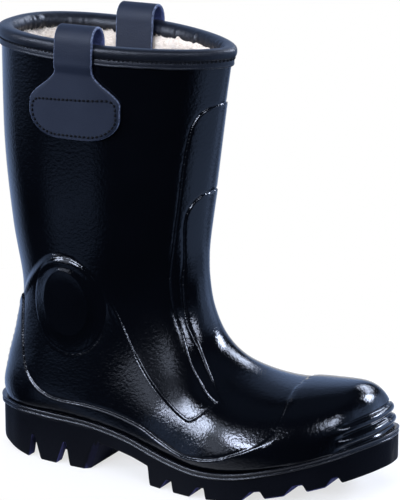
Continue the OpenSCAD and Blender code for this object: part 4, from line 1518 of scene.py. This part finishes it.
# %% World
# Each row is one patch: strength, turn, left, right, low, high, softness of its edge.
soft_boxes = [
    (31.0, azimuth, -18, 7, 18, 27, 3),
    (2.2, azimuth, -42, -8, 15, 38, 4),
    (36.0, azimuth, -50, -43.5, 18, 32, 2.5),
    (30.0, azimuth, -54, -49, 7, 18, 3),
    (1.5, azimuth, -44, -20, 0, 11, 4),
    (16.0, azimuth, 46, 57, 20, 33, 3),
    (11.0, back_azimuth, -32, 5, 31, 41, 4),
    (50.0, back_azimuth, -53, -39, 25, 39, 3)]
dim_walls = [
    (0.33, azimuth, -50, -14, -29, -20, 4),
    (0.9, azimuth, -140, -95, -45, 30, 12),
    (0.6, azimuth, -58, -50, -11, 6, 3),
    (0.6, azimuth, -95, -60, -12, 4, 6),
    (0.7, azimuth, 66, 140, -50, -14, 10),
    (1.1, azimuth, 86, 150, -10, 26, 8),
    (0.25, azimuth, 44, 84, 6, 30, 6),
    (0.35, azimuth, -132, -82, 28, 52, 6),
    (0.9, back_azimuth, 10, 42, 8, 42, 8),
    (0.7, back_azimuth, -60, 26, -22, 12, 6),
    (0.4, back_azimuth, 5, 70, 42, 64, 8)]
lit = sum(card(*box) for box in soft_boxes)
dim = sum(card(*wall) for wall in dim_walls) + 0.06 * elevation.ramp(50, 70) + 0.01
rays = ("Is Camera Ray", "Is Glossy Ray", "Is Transmission Ray")
camera_ray, glossy_ray, through_ray = (way.add("LightPath", output=ray) for ray in rays)
camera_turn = math.radians(camera_azimuth)
behind = (north * math.cos(camera_turn) - east * math.sin(camera_turn)).ramp(0.90, 0.98)
behind = behind * (1.0 - elevation.ramp(0, 10))
seen = camera_ray.math("MAXIMUM", glossy_ray.math("MAXIMUM", through_ray) * behind)
boxes = way.add("Background", None, {"Color": (0.88, 0.99, 1.26, 1), "Strength": lit})
walls = way.add("Background", None, {"Color": (0.48, 0.68, 1.15, 1), "Strength": dim})
room = way.add("AddShader", None, {0: boxes, 1: walls})
white = way.add("Background", None, {"Color": (1, 1, 1, 1), "Strength": 1.0})
both = way.add("MixShader", None, {0: seen, 1: room, 2: white})
output = tree.nodes.new("ShaderNodeOutputWorld")
tree.links.new(both.socket, output.inputs["Surface"])
print("soft boxes:", len(soft_boxes), "dim walls:", len(dim_walls))

# %% Lamps
lamp_target = Vector((0, 0, 0.15))


def towards(turn, tilt):
    """Unit vector to a place in the studio, by azimuth and elevation in degrees."""
    turn = math.radians(turn)
    tilt = math.radians(tilt)
    return Vector((math.sin(turn) * math.cos(tilt), -math.cos(turn) * math.cos(tilt), math.sin(tilt)))


def area_lamp(name, turn, tilt, distance, size, power):
    """A soft lamp aimed at the boot, unseen by the camera and in the gloss."""
    data = bpy.data.lights.new(name, "AREA")
    data.shape = "DISK"
    data.size = size
    data.energy = power
    lamp = bpy.data.objects.new(name, data)
    bpy.context.collection.objects.link(lamp)
    lamp.location = lamp_target + distance * towards(turn, tilt)
    lamp.rotation_euler = towards(turn, tilt).to_track_quat("Z", "Y").to_euler()
    lamp.visible_camera = False
    lamp.visible_glossy = False


area_lamp("top_fill", 20, 80, 1.8, 2.2, 26)
area_lamp("front_fill", -10, 35, 1.8, 1.4, 8)
print("lamps:", len(bpy.data.lights))

# %% Camera
camera_distance = 1.92
camera_target = Vector((0.009, 0.00209, 0.160))
camera_way = towards(camera_azimuth, camera_elevation)
camera_data = bpy.data.cameras.new("camera")
camera_data.sensor_fit = "VERTICAL"
camera_data.sensor_height = 36
camera_data.lens = 200
camera = bpy.data.objects.new("camera", camera_data)
bpy.context.collection.objects.link(camera)
camera.location = camera_target + camera_distance * camera_way
camera.rotation_euler = camera_way.to_track_quat("Z", "Y").to_euler()
bpy.context.scene.camera = camera
bpy.context.scene.view_settings.view_transform = "Standard"
print("camera at", [round(value, 3) for value in camera.location])
